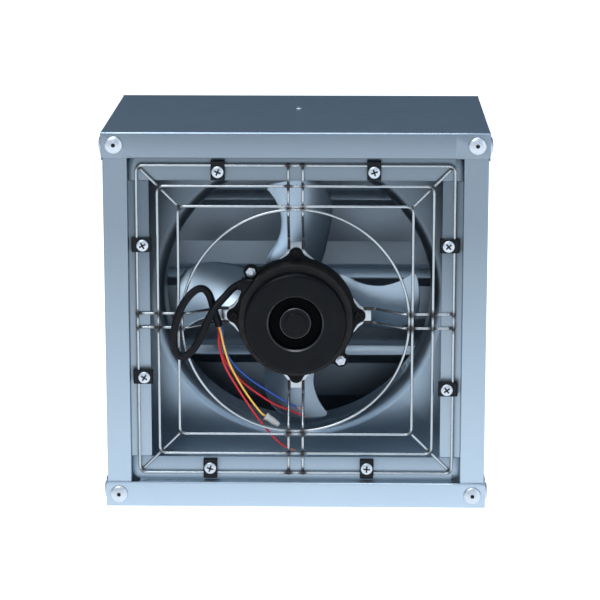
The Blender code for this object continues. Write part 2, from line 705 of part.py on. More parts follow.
def guard_spokes(finish):
    """Four pairs of spoke wires from the opening to the motor, with the circle in front."""
    ring = [guard_point(0, GUARD_CIRCLE, WIRE_BACK_DEPTH - WELDED_PITCH,
                        math.tau * k / CIRCLE_STEPS) for k in range(CIRCLE_STEPS)]
    guard = tube("guard_spokes", [ring], WIRE_RADIUS, PARTS, sides=WIRE_SIDES, cyclic=True)
    guard.data.materials.clear()
    guard.data.materials.append(finish)
    spokes = []
    for k in range(4):
        half = OPENING_HALF_HEIGHT if k % 2 else OPENING_HALF_WIDTH
        for lateral in (-PAIR_HALF, PAIR_HALF):
            corners = [guard_point(lateral, radial, depth, k * QUARTER) for radial, depth in (
                (half - OUTER_WIRE_INSET + PAIR_OVERHANG, WIRE_BACK_DEPTH),
                (GUARD_CIRCLE - PAIR_SLOPE_INSET, WIRE_BACK_DEPTH),
                (BRACKET_TAB_REACH + PAIR_TAB_CLEARANCE, BRACKET_DEPTH),
                (BRACKET_FLARE_REACH + FIT_GAP, BRACKET_DEPTH))]
            spokes.append(filleted(corners, PAIR_BEND_RADIUS, WIRE_BEND_STEPS))
    boolean(guard, tube("guard_spoke_tool", spokes, WIRE_RADIUS, TOOLS, sides=WIRE_SIDES), "UNION")
    return guard


# Rivets, clips and screws

def rivet(name, centre, outward, head, height, hole, hole_depth, grip, finish):
    """Blind rivet: domed head with its bore, and a shank with its set bulb where grip isn't 0."""
    crown = [(head * math.cos(QUARTER * i / RIVET_CROWN_STEPS),
              height * math.sin(QUARTER * i / RIVET_CROWN_STEPS))
             for i in range(RIVET_CROWN_STEPS)]
    crown = [(r, h) for r, h in crown if r > hole]
    profile = [(0, height - hole_depth), (hole, height - hole_depth), (hole, height)]
    profile += list(reversed(crown))
    if grip:
        profile += [(RIVET_SHANK, 0), (RIVET_SHANK, -grip), (RIVET_BULB, -grip),
                    (RIVET_SHANK, -grip - RIVET_BULB_LENGTH)]
    profile.append((0, -grip - RIVET_BULB_LENGTH if grip else 0))
    bm = bmesh.new()
    verts = [bm.verts.new((radius, 0, level)) for radius, level in profile]
    for first, second in zip(verts, verts[1:]):
        bm.edges.new((first, second))
    made = new_object(name, mesh_from(bm, name), PARTS, finish)
    step = made.modifiers.new("Turn", "SCREW")
    step.steps = RIVET_STEPS
    step.render_steps = RIVET_STEPS
    step.use_merge_vertices = True
    step.merge_threshold = MERGE
    made.rotation_mode = "QUATERNION"
    made.rotation_quaternion = Vector((0, 0, 1)).rotation_difference(Vector(outward))
    made.location = Vector(centre) + Vector(outward) * FIT_GAP
    return made


def rivets(finish):
    """The rivets that show: front corners, side walls and the middle of the top."""
    grip = SHEET * 2 + FIT_GAP * 3
    for number, centre in enumerate(rivet_centres(), 1):
        rivet(f"corner_rivet_{number}", centre, (0, -1, 0), RIVET_HEAD, RIVET_HEIGHT,
              RIVET_HOLE, RIVET_HOLE_DEPTH, grip, finish)
    for number, centre in enumerate(side_rivet_centres(), 1):
        outward = (math.copysign(1, centre[0]), 0, 0)
        rivet(f"side_rivet_{number}", centre, outward, RIVET_HEAD, RIVET_HEIGHT,
              RIVET_HOLE, RIVET_HOLE_DEPTH, grip, finish)
    rivet("top_rivet", (0, depth_y(TOP_RIVET_DEPTH), CASE_HEIGHT), (0, 0, 1), TOP_RIVET_HEAD,
          TOP_RIVET_HEIGHT, TOP_RIVET_HOLE, TOP_RIVET_HOLE_DEPTH, 0, finish)


def guard_clips(finish):
    """Moulded clips that hold the outer wire to the flange, each with its screw."""
    foot = RETURN_DEPTH - FIT_GAP
    slot_half = WIRE_RADIUS + FIT_GAP
    slot_top = WIRE_FRONT_DEPTH - slot_half
    wire = CLIP_SCREW_INSET - OUTER_WIRE_INSET
    profile = [
        (-CLIP_INWARD, foot), (-CLIP_INWARD, CLIP_FRONT + CLIP_CHAMFER),
        (-CLIP_INWARD + CLIP_CHAMFER, CLIP_FRONT), (CLIP_OUTWARD - CLIP_CHAMFER, CLIP_FRONT),
        (CLIP_OUTWARD, CLIP_FRONT + CLIP_CHAMFER), (CLIP_OUTWARD, foot),
        (wire + slot_half, foot), (wire + slot_half, slot_top),
        (wire - slot_half, slot_top), (wire - slot_half, foot)]
    for number, (place, angle) in enumerate(clip_places(), 1):
        name = f"guard_clip_{number}"
        bm = bmesh.new()
        verts = [bm.verts.new((outward, -CLIP_WIDTH / 2, -depth)) for outward, depth in profile]
        edges = [bm.edges.new(pair) for pair in zip(verts, verts[1:] + verts[:1])]
        bmesh.ops.contextual_create(bm, geom=edges)
        made = bmesh.ops.extrude_face_region(bm, geom=bm.faces[:])
        moved = [g for g in made["geom"] if isinstance(g, bmesh.types.BMVert)]
        bmesh.ops.translate(bm, verts=moved, vec=(0, CLIP_WIDTH, 0))
        bmesh.ops.recalc_face_normals(bm, faces=bm.faces[:])
        clip = new_object(name, mesh_from(bm, name), PARTS, finish)
        turn = Matrix.Rotation(QUARTER, 4, "X") @ Matrix.Rotation(angle, 4, "Z")
        clip.matrix_world = Matrix.Translation((place.x, FRONT_Y, place.z)) @ turn
        head_front = CLIP_FRONT - CLIP_SCREW_HEAD_HEIGHT
        screw = turned(name + "_screw_tool", [
                       (0, head_front), (CLIP_SCREW_HEAD - CLIP_CHAMFER, head_front),
                       (CLIP_SCREW_HEAD, head_front + CLIP_CHAMFER),
                       (CLIP_SCREW_HEAD, CLIP_FRONT + CLIP_CHAMFER),
                       (CLIP_SCREW_SHANK, CLIP_FRONT + CLIP_CHAMFER),
                       (CLIP_SCREW_SHANK, foot + CLIP_SCREW_TAIL), (0, foot + CLIP_SCREW_TAIL)],
                       SCREW_STEPS, None, TOOLS, closed=False)
        screw.location = (place.x, FRONT_Y, place.z)
        boolean(clip, screw, "UNION")


# Motor

def front_cap(finish):
    """Front end shield with its deep ring recess and bearing boss."""
    floor_rear = CAP_RECESS_FLOOR + CAP_WALL
    recess_foot = CAP_RECESS_RADIUS - CAP_RECESS_CHAMFER
    recess_back = CAP_RECESS_RADIUS + CAP_WALL
    pocket = BEARING_OUTER + FIT_GAP
    pocket_front = floor_rear - BEARING_WIDTH
    edge = arc((CAP_RADIUS - CAP_EDGE_ROUND, CAP_FRONT + CAP_EDGE_ROUND), CAP_EDGE_ROUND,
               -QUARTER, 0, EDGE_STEPS)
    profile = [
        (0, CAP_BOSS_FRONT), (CAP_BOSS_STEP_RADIUS, CAP_BOSS_FRONT),
        (CAP_BOSS_STEP_RADIUS, CAP_BOSS_FRONT + CAP_BOSS_STEP),
        (CAP_BOSS_RADIUS, CAP_BOSS_FRONT + CAP_BOSS_STEP), (CAP_BOSS_RADIUS, CAP_RECESS_FLOOR),
        (recess_foot, CAP_RECESS_FLOOR), (CAP_RECESS_RADIUS, CAP_FRONT + CAP_RECESS_CHAMFER),
        (CAP_RECESS_RADIUS + CAP_RECESS_CHAMFER, CAP_FRONT), *edge,
        (CAP_RADIUS, CAP_GROOVE_FRONT), (CAP_RADIUS - CAP_GROOVE, CAP_GROOVE_FRONT),
        (CAP_RADIUS - CAP_GROOVE, CAP_REAR), (CAP_RADIUS - CAP_WALL, CAP_REAR),
        (CAP_RADIUS - CAP_WALL, CAP_FRONT + CAP_WALL), (recess_back, CAP_FRONT + CAP_WALL),
        (recess_back, floor_rear), (pocket, floor_rear), (pocket, pocket_front),
        (0, pocket_front)]
    cap = turned("motor_front_cap", profile, TURN_STEPS, finish, PARTS, closed=False)
    return cap


def wound_stator(finish):
    """Lamination ring that shows between the end shields, with its end windings."""
    profile = [
        (STATOR_RADIUS, STATOR_FRONT), (STATOR_RADIUS, STATOR_REAR),
        (WINDING_OUTER, STATOR_REAR), (WINDING_OUTER, STATOR_REAR + WINDING_OVERHANG),
        (WINDING_INNER, STATOR_REAR + WINDING_OVERHANG), (WINDING_INNER, STATOR_REAR),
        (STATOR_BORE, STATOR_REAR), (STATOR_BORE, STATOR_FRONT),
        (WINDING_INNER, STATOR_FRONT), (WINDING_INNER, STATOR_FRONT - WINDING_OVERHANG),
        (WINDING_OUTER, STATOR_FRONT - WINDING_OVERHANG), (WINDING_OUTER, STATOR_FRONT)]
    return turned("wound_stator", profile, INNER_STEPS, finish, PARTS)


def ear_outline():
    """Edge of the motor flange with its four ears and two bolt lugs."""
    marks = []
    for k in range(4):
        marks.append((k * QUARTER, EAR_ROOT_HALF, EAR_SHOULDER_HALF, EAR_SHOULDER,
                      EAR_CIRCLE, EAR_RADIUS))
    for angle in LUG_ANGLES:
        marks.append((angle % math.tau, LUG_ROOT_HALF, LUG_RADIUS, LUG_CIRCLE,
                      LUG_CIRCLE, LUG_RADIUS))
    marks.sort()
    outline = []
    for i, (angle, root, shoulder, shoulder_reach, reach, radius) in enumerate(marks):
        root_angle = math.asin(root / FLANGE_RADIUS)
        head = [(shoulder_reach, -shoulder)]
        head += arc((reach, 0), radius, -QUARTER * 0.8, QUARTER * 0.8, EAR_STEPS)
        head += [(shoulder_reach, shoulder)]
        outline.append(turn_point((FLANGE_RADIUS, 0), angle - root_angle))
        outline += [turn_point(p, angle) for p in head]
        start = angle + root_angle
        following = marks[(i + 1) % len(marks)]
        end = following[0] - math.asin(following[1] / FLANGE_RADIUS)
        end += math.tau if end < start else 0
        outline += arc((0, 0), FLANGE_RADIUS, start, end, FLANGE_STEPS)[:-1]
    return outline


def rear_bell(finish):
    """Rear end shield: flange with ears and lugs, cable hood and bearing pocket."""
    holes = [circle_points((0, 0), REAR_BELL_RADIUS - REAR_BELL_WALL / 2, TURN_STEPS)]
    for k in range(4):
        centre = turn_point((EAR_CIRCLE, 0), k * QUARTER)
        holes.append(circle_points(centre, EAR_SCREW_RADIUS + FIT_GAP, SCREW_STEPS))
    for angle in LUG_ANGLES:
        centre = turn_point((LUG_CIRCLE, 0), angle)
        holes.append(circle_points(centre, TIE_BOLT_RADIUS + FIT_GAP, SCREW_STEPS))
    flange = plate("motor_rear_bell", [ear_outline(), *holes], FLANGE_THICKNESS,
                   FLANGE_FRONT + FLANGE_THICKNESS / 2, finish, PARTS)
    inside = REAR_BELL_RADIUS - REAR_BELL_WALL
    pocket = BEARING_OUTER + FIT_GAP
    boss = pocket + REAR_BOSS_WALL
    edge = arc((REAR_BELL_RADIUS - REAR_BELL_ROUND, REAR_BELL_END - REAR_BELL_ROUND),
               REAR_BELL_ROUND, 0, QUARTER, EDGE_STEPS)
    root = FLANGE_FRONT + FLANGE_THICKNESS / 4
    profile = [
        (REAR_BELL_RADIUS, root), *edge, (boss, REAR_BELL_END), (boss, REAR_BOSS_END),
        (SHAFT_HOLE, REAR_BOSS_END), (SHAFT_HOLE, REAR_POCKET_END), (pocket, REAR_POCKET_END),
        (pocket, REAR_POCKET_FRONT), (inside, REAR_POCKET_FRONT), (inside, root)]
    shell = turned("rear_bell_shell_tool", profile, TURN_STEPS, None, TOOLS)
    shell.rotation_euler = (QUARTER, math.pi / TURN_STEPS, 0)
    boolean(flange, shell, "UNION")
    length = HOOD_LENGTH + FLANGE_THICKNESS / 2
    bm = bmesh.new()
    bmesh.ops.create_cube(bm, size=1)
    bmesh.ops.scale(bm, verts=bm.verts[:], vec=(HOOD_WIDTH, length, HOOD_HEIGHT))
    hood = new_object("cable_hood_tool", mesh_from(bm, "cable_hood_tool"), TOOLS)
    hood.location = (-HOOD_REACH + HOOD_WIDTH / 2, depth_y(FLANGE_FRONT - HOOD_LENGTH + length / 2),
                     AXIS_HEIGHT + HOOD_LEVEL)
    boolean(flange, hood, "UNION")
    clear = (STATOR_RADIUS + FIT_GAP) / math.cos(math.pi / TURN_STEPS)
    space = turned("stator_space_tool", [(0, CAP_FRONT), (clear, CAP_FRONT), (clear, FLANGE_REAR),
                                         (0, FLANGE_REAR)], TURN_STEPS, None, TOOLS, closed=False)
    boolean(hood, space, "DIFFERENCE")
    return flange


def motor_bracket(finish):
    """Pressed ring behind the motor flange, with four tabs between the spoke wires."""
    tab_half = PAIR_HALF - WIRE_RADIUS - FIT_GAP
    outline = []
    root_angle = math.asin(BRACKET_FLARE_ROOT_HALF / BRACKET_OUTER)
    for k in range(4):
        tab = [(BRACKET_FLARE_REACH - BRACKET_THICKNESS, -BRACKET_FLARE_HALF),
               (BRACKET_FLARE_REACH, -BRACKET_FLARE_HALF + BRACKET_THICKNESS / 2),
               (BRACKET_FLARE_REACH, -tab_half), (BRACKET_TAB_REACH, -tab_half),
               (BRACKET_TAB_REACH, tab_half), (BRACKET_FLARE_REACH, tab_half),
               (BRACKET_FLARE_REACH, BRACKET_FLARE_HALF - BRACKET_THICKNESS / 2),
               (BRACKET_FLARE_REACH - BRACKET_THICKNESS, BRACKET_FLARE_HALF)]
        outline += [turn_point(p, k * QUARTER) for p in tab]
        outline += arc((0, 0), BRACKET_OUTER, k * QUARTER + root_angle,
                       (k + 1) * QUARTER - root_angle, EAR_STEPS)
    holes = [circle_points((0, 0), BRACKET_INNER, TURN_STEPS)]
    for k in range(4):
        centre = turn_point((EAR_CIRCLE, 0), k * QUARTER)
        holes.append(circle_points(centre, EAR_SCREW_RADIUS + FIT_GAP, SCREW_STEPS))
    return plate("motor_bracket", [outline, *holes], BRACKET_THICKNESS, BRACKET_DEPTH,
                 finish, PARTS)


def bearings(finish):
    """The two ball bearings, closed rings round the shaft."""
    bore = SHAFT_RADIUS + FIT_GAP
    fronts = {"front_bearing": CAP_RECESS_FLOOR + CAP_WALL - BEARING_WIDTH + FIT_GAP,
              "rear_bearing": REAR_POCKET_END - FIT_GAP - BEARING_WIDTH}
    for name, front in fronts.items():
        rear = front + BEARING_WIDTH
        turned(name, [(BEARING_OUTER, front), (BEARING_OUTER, rear), (bore, rear),
                      (bore, front)], SHAFT_STEPS, finish, PARTS)


def rotor_and_shaft(finish, shaft_finish):
    """Squirrel-cage rotor and the shaft that carries the impeller."""
    radius = STATOR_BORE - ROTOR_AIR_GAP
    bore = SHAFT_RADIUS + FIT_GAP
    turned("rotor", [(radius, STATOR_FRONT), (radius, STATOR_REAR), (bore, STATOR_REAR),
                     (bore, STATOR_FRONT)], INNER_STEPS, finish, PARTS)
    chamfer = SHAFT_RADIUS / 5
    turned("motor_shaft", [(0, SHAFT_FRONT), (SHAFT_RADIUS, SHAFT_FRONT),
                           (SHAFT_RADIUS, SHAFT_REAR - chamfer),
                           (SHAFT_RADIUS - chamfer, SHAFT_REAR), (0, SHAFT_REAR)],
           SHAFT_STEPS, shaft_finish, PARTS, closed=False)


def ear_screws(finish):
    """Socket screws that hold the motor ears to the bracket."""
    seat = FLANGE_FRONT - FIT_GAP
    top = seat - EAR_SCREW_HEAD_HEIGHT
    tail = BRACKET_DEPTH + BRACKET_THICKNESS / 2 + SCREW_TAIL
    for k in range(4):
        x, z = turn_point((EAR_CIRCLE, 0), k * QUARTER)
        screw = turned(f"ear_screw_{k + 1}", [
            (0, top + SOCKET_DEPTH), (SOCKET_RADIUS, top + SOCKET_DEPTH), (SOCKET_RADIUS, top),
            (EAR_SCREW_HEAD, top), (EAR_SCREW_HEAD, seat), (EAR_SCREW_RADIUS, seat),
            (EAR_SCREW_RADIUS, tail), (0, tail)], SCREW_STEPS, finish, PARTS, closed=False)
        screw.location = (x, FRONT_Y, AXIS_HEIGHT + z)


def tie_bolts(finish):
    """Through bolts of the motor with their hexagon nuts."""
    seat = FLANGE_FRONT - FIT_GAP
    nut_front = seat - TIE_NUT_HEIGHT
    tail = BRACKET_DEPTH + SCREW_TAIL
    half = TIE_NUT_ACROSS_CORNERS / 2
    for number, angle in enumerate(LUG_ANGLES, 1):
        x, z = turn_point((LUG_CIRCLE, 0), angle)
        nut = turned(f"tie_bolt_{number}", [(TIE_BOLT_RADIUS, nut_front), (half, nut_front),
                     (half, seat), (TIE_BOLT_RADIUS, seat)], 6, finish, PARTS)
        nut.location = (x, FRONT_Y, AXIS_HEIGHT + z)
        bolt_radius = TIE_BOLT_RADIUS + FIT_GAP / 2
        shank = turned(f"tie_bolt_{number}_tool", [
            (0, nut_front - TIE_BOLT_PROUD), (bolt_radius, nut_front - TIE_BOLT_PROUD),
            (bolt_radius, tail), (0, tail)], SCREW_STEPS, None, TOOLS, closed=False)
        shank.location = nut.location
        boolean(nut, shank, "UNION")


# Impeller

def follow(values, marks, at):
    """Smooth curve through values at the marks, read at one place."""
    last = len(marks) - 1
    i = max(0, min(last - 1, sum(1 for m in marks[1:] if m <= at)))
    span = marks[i + 1] - marks[i]
    t = max(0.0, min(1.0, (at - marks[i]) / span))

    def slope(j):
        if 0 < j < last:
            return (values[j + 1] - values[j - 1]) / (marks[j + 1] - marks[j - 1])
        other = j + 1 if j == 0 else j - 1
        return (values[other] - values[j]) / (marks[other] - marks[j])

    rise = (2 * t ** 3 - 3 * t ** 2 + 1) * values[i] + (3 * t ** 2 - 2 * t ** 3) * values[i + 1]
    return rise + (t ** 3 - 2 * t ** 2 + t) * span * slope(i) + (t ** 3 - t ** 2) * span * slope(i + 1)


def blade_point(radius, angle, chord_share):
    """Point of the blade's middle surface, to the right of the axis, behind the blade plane."""
    span_share = (radius - BLADE_ROOT_RADIUS) / (TIP_RADIUS - BLADE_ROOT_RADIUS)
    span_share = max(0.0, span_share)
    pitch = math.tan(ROOT_PITCH) + (math.tan(TIP_PITCH) - math.tan(ROOT_PITCH)) * span_share
    across = radius * math.sin(angle)
    camber = BLADE_CAMBER * (1 - (2 * chord_share - 1) ** 2)
    return Vector((radius * math.cos(angle), -across * pitch - camber, across))


def blade_surface(name, root, tip, edges, span_steps, chord_steps, shift, collection, finish):
    """Twisted sheet between two edges that edges gives as angles at each radius."""
    bm = bmesh.new()
    bmesh.ops.create_grid(bm, x_segments=span_steps, y_segments=chord_steps, size=1)
    for vert in bm.verts:
        span_share = (vert.co.x + 1) / 2
        chord_share = (vert.co.y + 1) / 2
        radius = root + (tip - root) * span_share
        leading, trailing = edges(radius)
        angle = leading + (trailing - leading) * chord_share
        vert.co = blade_point(radius, angle, chord_share)
        vert.co.y += shift
    bmesh.ops.recalc_face_normals(bm, faces=bm.faces[:])
    return new_object(name, mesh_from(bm, name), collection, finish)


def blade_edges(radius):
    """Leading and trailing angle of the blade at a radius."""
    at = radius / TIP_RADIUS
    return (follow(LEADING_ANGLES, LEADING_RADIUS_SHARES, at),
            follow(TRAILING_ANGLES, TRAILING_RADIUS_SHARES, at))


def arm_edges(radius):
    """Edges of a spider arm: it narrows in angle from the boss to its tip."""
    share = (radius - ARM_ROOT_RADIUS) / (ARM_REACH - ARM_ROOT_RADIUS)
    wide, narrow = ARM_HALF_ANGLES
    half = wide + (narrow - wide) * math.sqrt(share)
    return half, -half


def impeller(blade_finish, hub_finish):
    """Hub with its four arms, and the four pressed blades in front of the arms."""
    hub = turned("impeller_hub", [
        (HUB_RADIUS, HUB_FRONT), (HUB_RADIUS, HUB_REAR), (SHAFT_RADIUS + FIT_GAP, HUB_REAR),
        (SHAFT_RADIUS + FIT_GAP, HUB_FRONT)], SHAFT_STEPS, hub_finish, PARTS)
    blade_y = depth_y(BLADE_DEPTH)
    shift = (BLADE_SHEET / 2 + ARM_SHEET / 2 + FIT_GAP + BLADE_CAMBER / 8) / math.cos(ROOT_PITCH)
    for k in range(BLADES):
        turn = (0, -math.tau * k / BLADES, 0)
        blade = blade_surface(f"impeller_blade_{k + 1}", BLADE_ROOT_RADIUS, TIP_RADIUS,
                              blade_edges, BLADE_SPAN_STEPS, BLADE_CHORD_STEPS, 0,
                              PARTS, blade_finish)
        thicken(blade, BLADE_SHEET, 0.0)
        blade.location = (0, blade_y, AXIS_HEIGHT)
        blade.rotation_euler = turn
        arm = blade_surface(f"impeller_arm_{k + 1}_tool", ARM_ROOT_RADIUS, ARM_REACH, arm_edges,
                            ARM_SPAN_STEPS, ARM_CHORD_STEPS, shift, TOOLS, None)
        thicken(arm, ARM_SHEET, 0.0)
        arm.location = blade.location
        arm.rotation_euler = turn
        boolean(hub, arm, "UNION")


# Shutter

def louvre_profile(drop):
    """Side outline of a louvre: hem round its rod, upper wall, crease and lower lip."""
    return [(-HEM_TOP_SETBACK, HEM_TOP), (-HEM_BULGE, 0), (0, -HEM_BOTTOM),
            (-CREASE_OFFSET, -CREASE_DROP), (LOWER_LIP_OFFSET, -drop + LOWER_LIP_HEIGHT),
            (LOWER_LIP_OFFSET, -drop)]


def rod_centre():
    """Middle of the rod, which lies in the hem against both its walls."""
    fold_line = Vector((-HEM_BULGE, 0))
    up = (Vector((-HEM_TOP_SETBACK, HEM_TOP)) - fold_line).normalized()
    down = (Vector((0, -HEM_BOTTOM)) - fold_line).normalized()
    half = up.angle(down) / 2
    reach = (ROD_RADIUS + FIT_GAP + LOUVRE_SHEET) / math.sin(half)
    return fold_line + (up + down).normalized() * reach


def shutter(blade_finish, rod_finish, channel_finish):
    """Four louvres that hang on rods between two side channels."""
    sill = REAR_LIP + LOUVRE_BOTTOM_CLEARANCE
    pitch = (LOUVRE_TOP_PIVOT - sill + LOUVRE_OVERLAP_START) / LOUVRES
    drop = pitch - LOUVRE_OVERLAP_START
    channel_x = HALF_WIDTH - REAR_LIP
    blade_half = channel_x - LOUVRE_SIDE_GAP
    rod = rod_centre()
    rod_holes = []
    for k in range(LOUVRES):
        hem = Vector((0, depth_y(LOUVRE_PLANE), LOUVRE_TOP_PIVOT - pitch * k))
        pivot = hem + Vector((0, rod.x, rod.y))
        name = f"louvre_blade_{k + 1}"
        bm = bmesh.new()
        verts = [bm.verts.new(hem - pivot + Vector((-blade_half, y, z)))
                 for y, z in louvre_profile(drop)]
        edges = [bm.edges.new(pair) for pair in zip(verts, verts[1:])]
        made = bmesh.ops.extrude_edge_only(bm, edges=edges)
        moved = [g for g in made["geom"] if isinstance(g, bmesh.types.BMVert)]
        bmesh.ops.translate(bm, verts=moved, vec=(blade_half * 2, 0, 0))
        face_outwards(bm, lambda p: True, Vector((0, -1, 0)))
        blade = new_object(name, mesh_from(bm, name), PARTS, blade_finish)
        thicken(blade, LOUVRE_SHEET)
        blade.location = pivot
        reach = channel_x + CHANNEL_SHEET + ROD_OVERHANG
        axle = tube(f"louvre_rod_{k + 1}", [[(-reach, 0, 0), (reach, 0, 0)]], ROD_RADIUS,
                    PARTS, rod_finish)
        axle = baked(axle, PARTS, rod_finish)
        axle.location = pivot
        rod_holes.append(pivot)
    for side, name in ((-1, "shutter_channel_left"), (1, "shutter_channel_right")):
        side_wall = side * (SIDE_WALL_X - SHEET - FIT_GAP - CHANNEL_SHEET)
        front = depth_y(CHANNEL_FRONT)
        rear = REAR_Y - (SHEET + FIT_GAP) * 2
        levels = (SHEET + FIT_GAP + CHANNEL_END_GAP, CASE_HEIGHT - SHEET - FIT_GAP - CHANNEL_END_GAP)
        bm = sheet_grid((front, rear), levels, lambda y, z: Vector((side * channel_x, y, z)))
        fold(bm, lambda p: near(p.y, front), (side_wall - side * channel_x, 0, 0))
        fold(bm, lambda p: near(p.x, side_wall), (0, -CHANNEL_FOOT, 0))
        face_outwards(bm, lambda p: near(p.x, side * channel_x), Vector((-side, 0, 0)))
        channel = new_object(name, mesh_from(bm, name), PARTS, channel_finish)
        thicken(channel, CHANNEL_SHEET)
        drill(channel, [(Vector((side * channel_x, p.y, p.z)), (1, 0, 0),
                         ROD_RADIUS + ROD_HOLE_CLEARANCE, CHANNEL_SHEET + OVERRUN)
                        for p in rod_holes])


# Orifice plate

def orifice_plate(finish):
    """Plate with a turned-back skirt on four sides and a bell mouth that runs into a throat."""
    plate_y = depth_y(ORIFICE_DEPTH)
    half_x = SIDE_WALL_X - SHEET - FIT_GAP
    half_z = HALF_HEIGHT - SHEET - FIT_GAP
    bm = bmesh.new()
    rim = bmesh.ops.create_circle(bm, segments=BELL_STEPS, radius=BELL_MOUTH_RADIUS)["verts"]
    corners = filleted([(-half_x, -half_z, 0), (half_x, -half_z, 0), (half_x, half_z, 0),
                        (-half_x, half_z, 0)], ORIFICE_CORNER, ORIFICE_CORNER_STEPS, cyclic=True)
    outline = [bm.verts.new(corner) for corner in corners]
    for first, second in zip(outline, outline[1:] + outline[:1]):
        bm.edges.new((first, second))
    bmesh.ops.triangle_fill(bm, use_beauty=True, edges=bm.edges[:])
    for vert in bm.verts:
        vert.co = (vert.co.x, plate_y, AXIS_HEIGHT + vert.co.y)
    edge = set(outline)
    fold(bm, lambda p: max(abs(p.x) - half_x, abs(p.z - AXIS_HEIGHT) - half_z) > -ORIFICE_CORNER,
         (0, ORIFICE_SKIRT, 0))
    bends = [e for e in bm.edges if len(e.link_faces) == 2 and all(v in edge for v in e.verts)
             and e.calc_face_angle() > math.radians(45)]
    steps = arc((BELL_MOUTH_RADIUS, ORIFICE_DEPTH + BELL_CURL), BELL_CURL, -QUARTER, -math.pi,
                BELL_CURL_STEPS)[1:] + [(THROAT_RADIUS, THROAT_END)]
    loop = [e for e in bm.edges if e.is_boundary and all(v in rim for v in e.verts)]
    for radius, depth in steps:
        made = bmesh.ops.extrude_edge_only(bm, edges=loop)["geom"]
        loop = [g for g in made if isinstance(g, bmesh.types.BMEdge) and g.is_boundary]
        for vert in [g for g in made if isinstance(g, bmesh.types.BMVert)]:
            out = Vector((vert.co.x, 0, vert.co.z - AXIS_HEIGHT)).normalized() * radius
            vert.co = (out.x, depth_y(depth), AXIS_HEIGHT + out.z)
    bmesh.ops.bevel(bm, geom=bends, offset=BEND_RADIUS, segments=BEND_STEPS, profile=0.5,
                    affect="EDGES", clamp_overlap=True)
    face_outwards(bm, lambda p: near(p.y, plate_y), Vector((0, -1, 0)))
    made = new_object("orifice_plate", mesh_from(bm, "orifice_plate"), PARTS, finish)
    thicken(made, SHEET)
    return made


# Cable

def route_points(route, step):
    """Points a step apart along a smooth curve through a route given in millimetres."""
    knots = [Vector((x * MM, depth_y(depth * MM), AXIS_HEIGHT + (z - ROUTE_AXIS_MM) * MM))
             for x, depth, z in route]
    path = [knots[0]]
    for i in range(len(knots) - 1):
        before = knots[max(i - 1, 0)]
        after = knots[min(i + 2, len(knots) - 1)]
        start, end = knots[i], knots[i + 1]
        pieces = max(1, round((end - start).length / step))
        for j in range(1, pieces + 1):
            t = j / pieces
            path.append(0.5 * ((2 * start) + (end - before) * t
                               + (2 * before - 5 * start + 4 * end - after) * t ** 2
                               + (3 * start - before - 3 * end + after) * t ** 3))
    return path


def cable(finishes):
    """Black sheath from the motor, four leads out of its end, and the crimp cap."""
    sheath = tube("cable_sheath", [route_points(CABLE_ROUTE_MM, CABLE_POINT_STEP)],
                  CABLE_RADIUS, PARTS, finishes["black"])
    baked(sheath, PARTS, finishes["black"])
    leads = {"lead_blue": (BLUE_ROUTE_MM, "blue"), "lead_red_long": (RED_LONG_ROUTE_MM, "red"),
             "lead_red_short": (RED_SHORT_ROUTE_MM, "red"), "lead_yellow": (YELLOW_ROUTE_MM, "yellow")}
    for name, (route, colour) in leads.items():
        lead = tube(name, [route_points(route, LEAD_POINT_STEP)], LEAD_RADIUS, PARTS,
                    finishes[colour])
        baked(lead, PARTS, finishes[colour])
    start, end = (Vector((x * MM, depth_y(depth * MM), AXIS_HEIGHT + (z - ROUTE_AXIS_MM) * MM))
                  for x, depth, z in (CRIMP_START_MM, CRIMP_END_MM))
    bm = bmesh.new()
    bmesh.ops.create_cone(bm, cap_ends=True, segments=CRIMP_STEPS, radius1=CRIMP_RADIUS,
                          radius2=CRIMP_TIP_RADIUS, depth=(end - start).length)
    cap = new_object("crimp_cap", mesh_from(bm, "crimp_cap"), PARTS, finishes["clear"])
    cap.rotation_mode = "QUATERNION"
    cap.rotation_quaternion = Vector((0, 0, 1)).rotation_difference(end - start)
    cap.location = (start + end) / 2


def collection_named(name):
    """New collection in the scene."""
    made = bpy.data.collections.new(name)
    bpy.context.scene.collection.children.link(made)
    return made


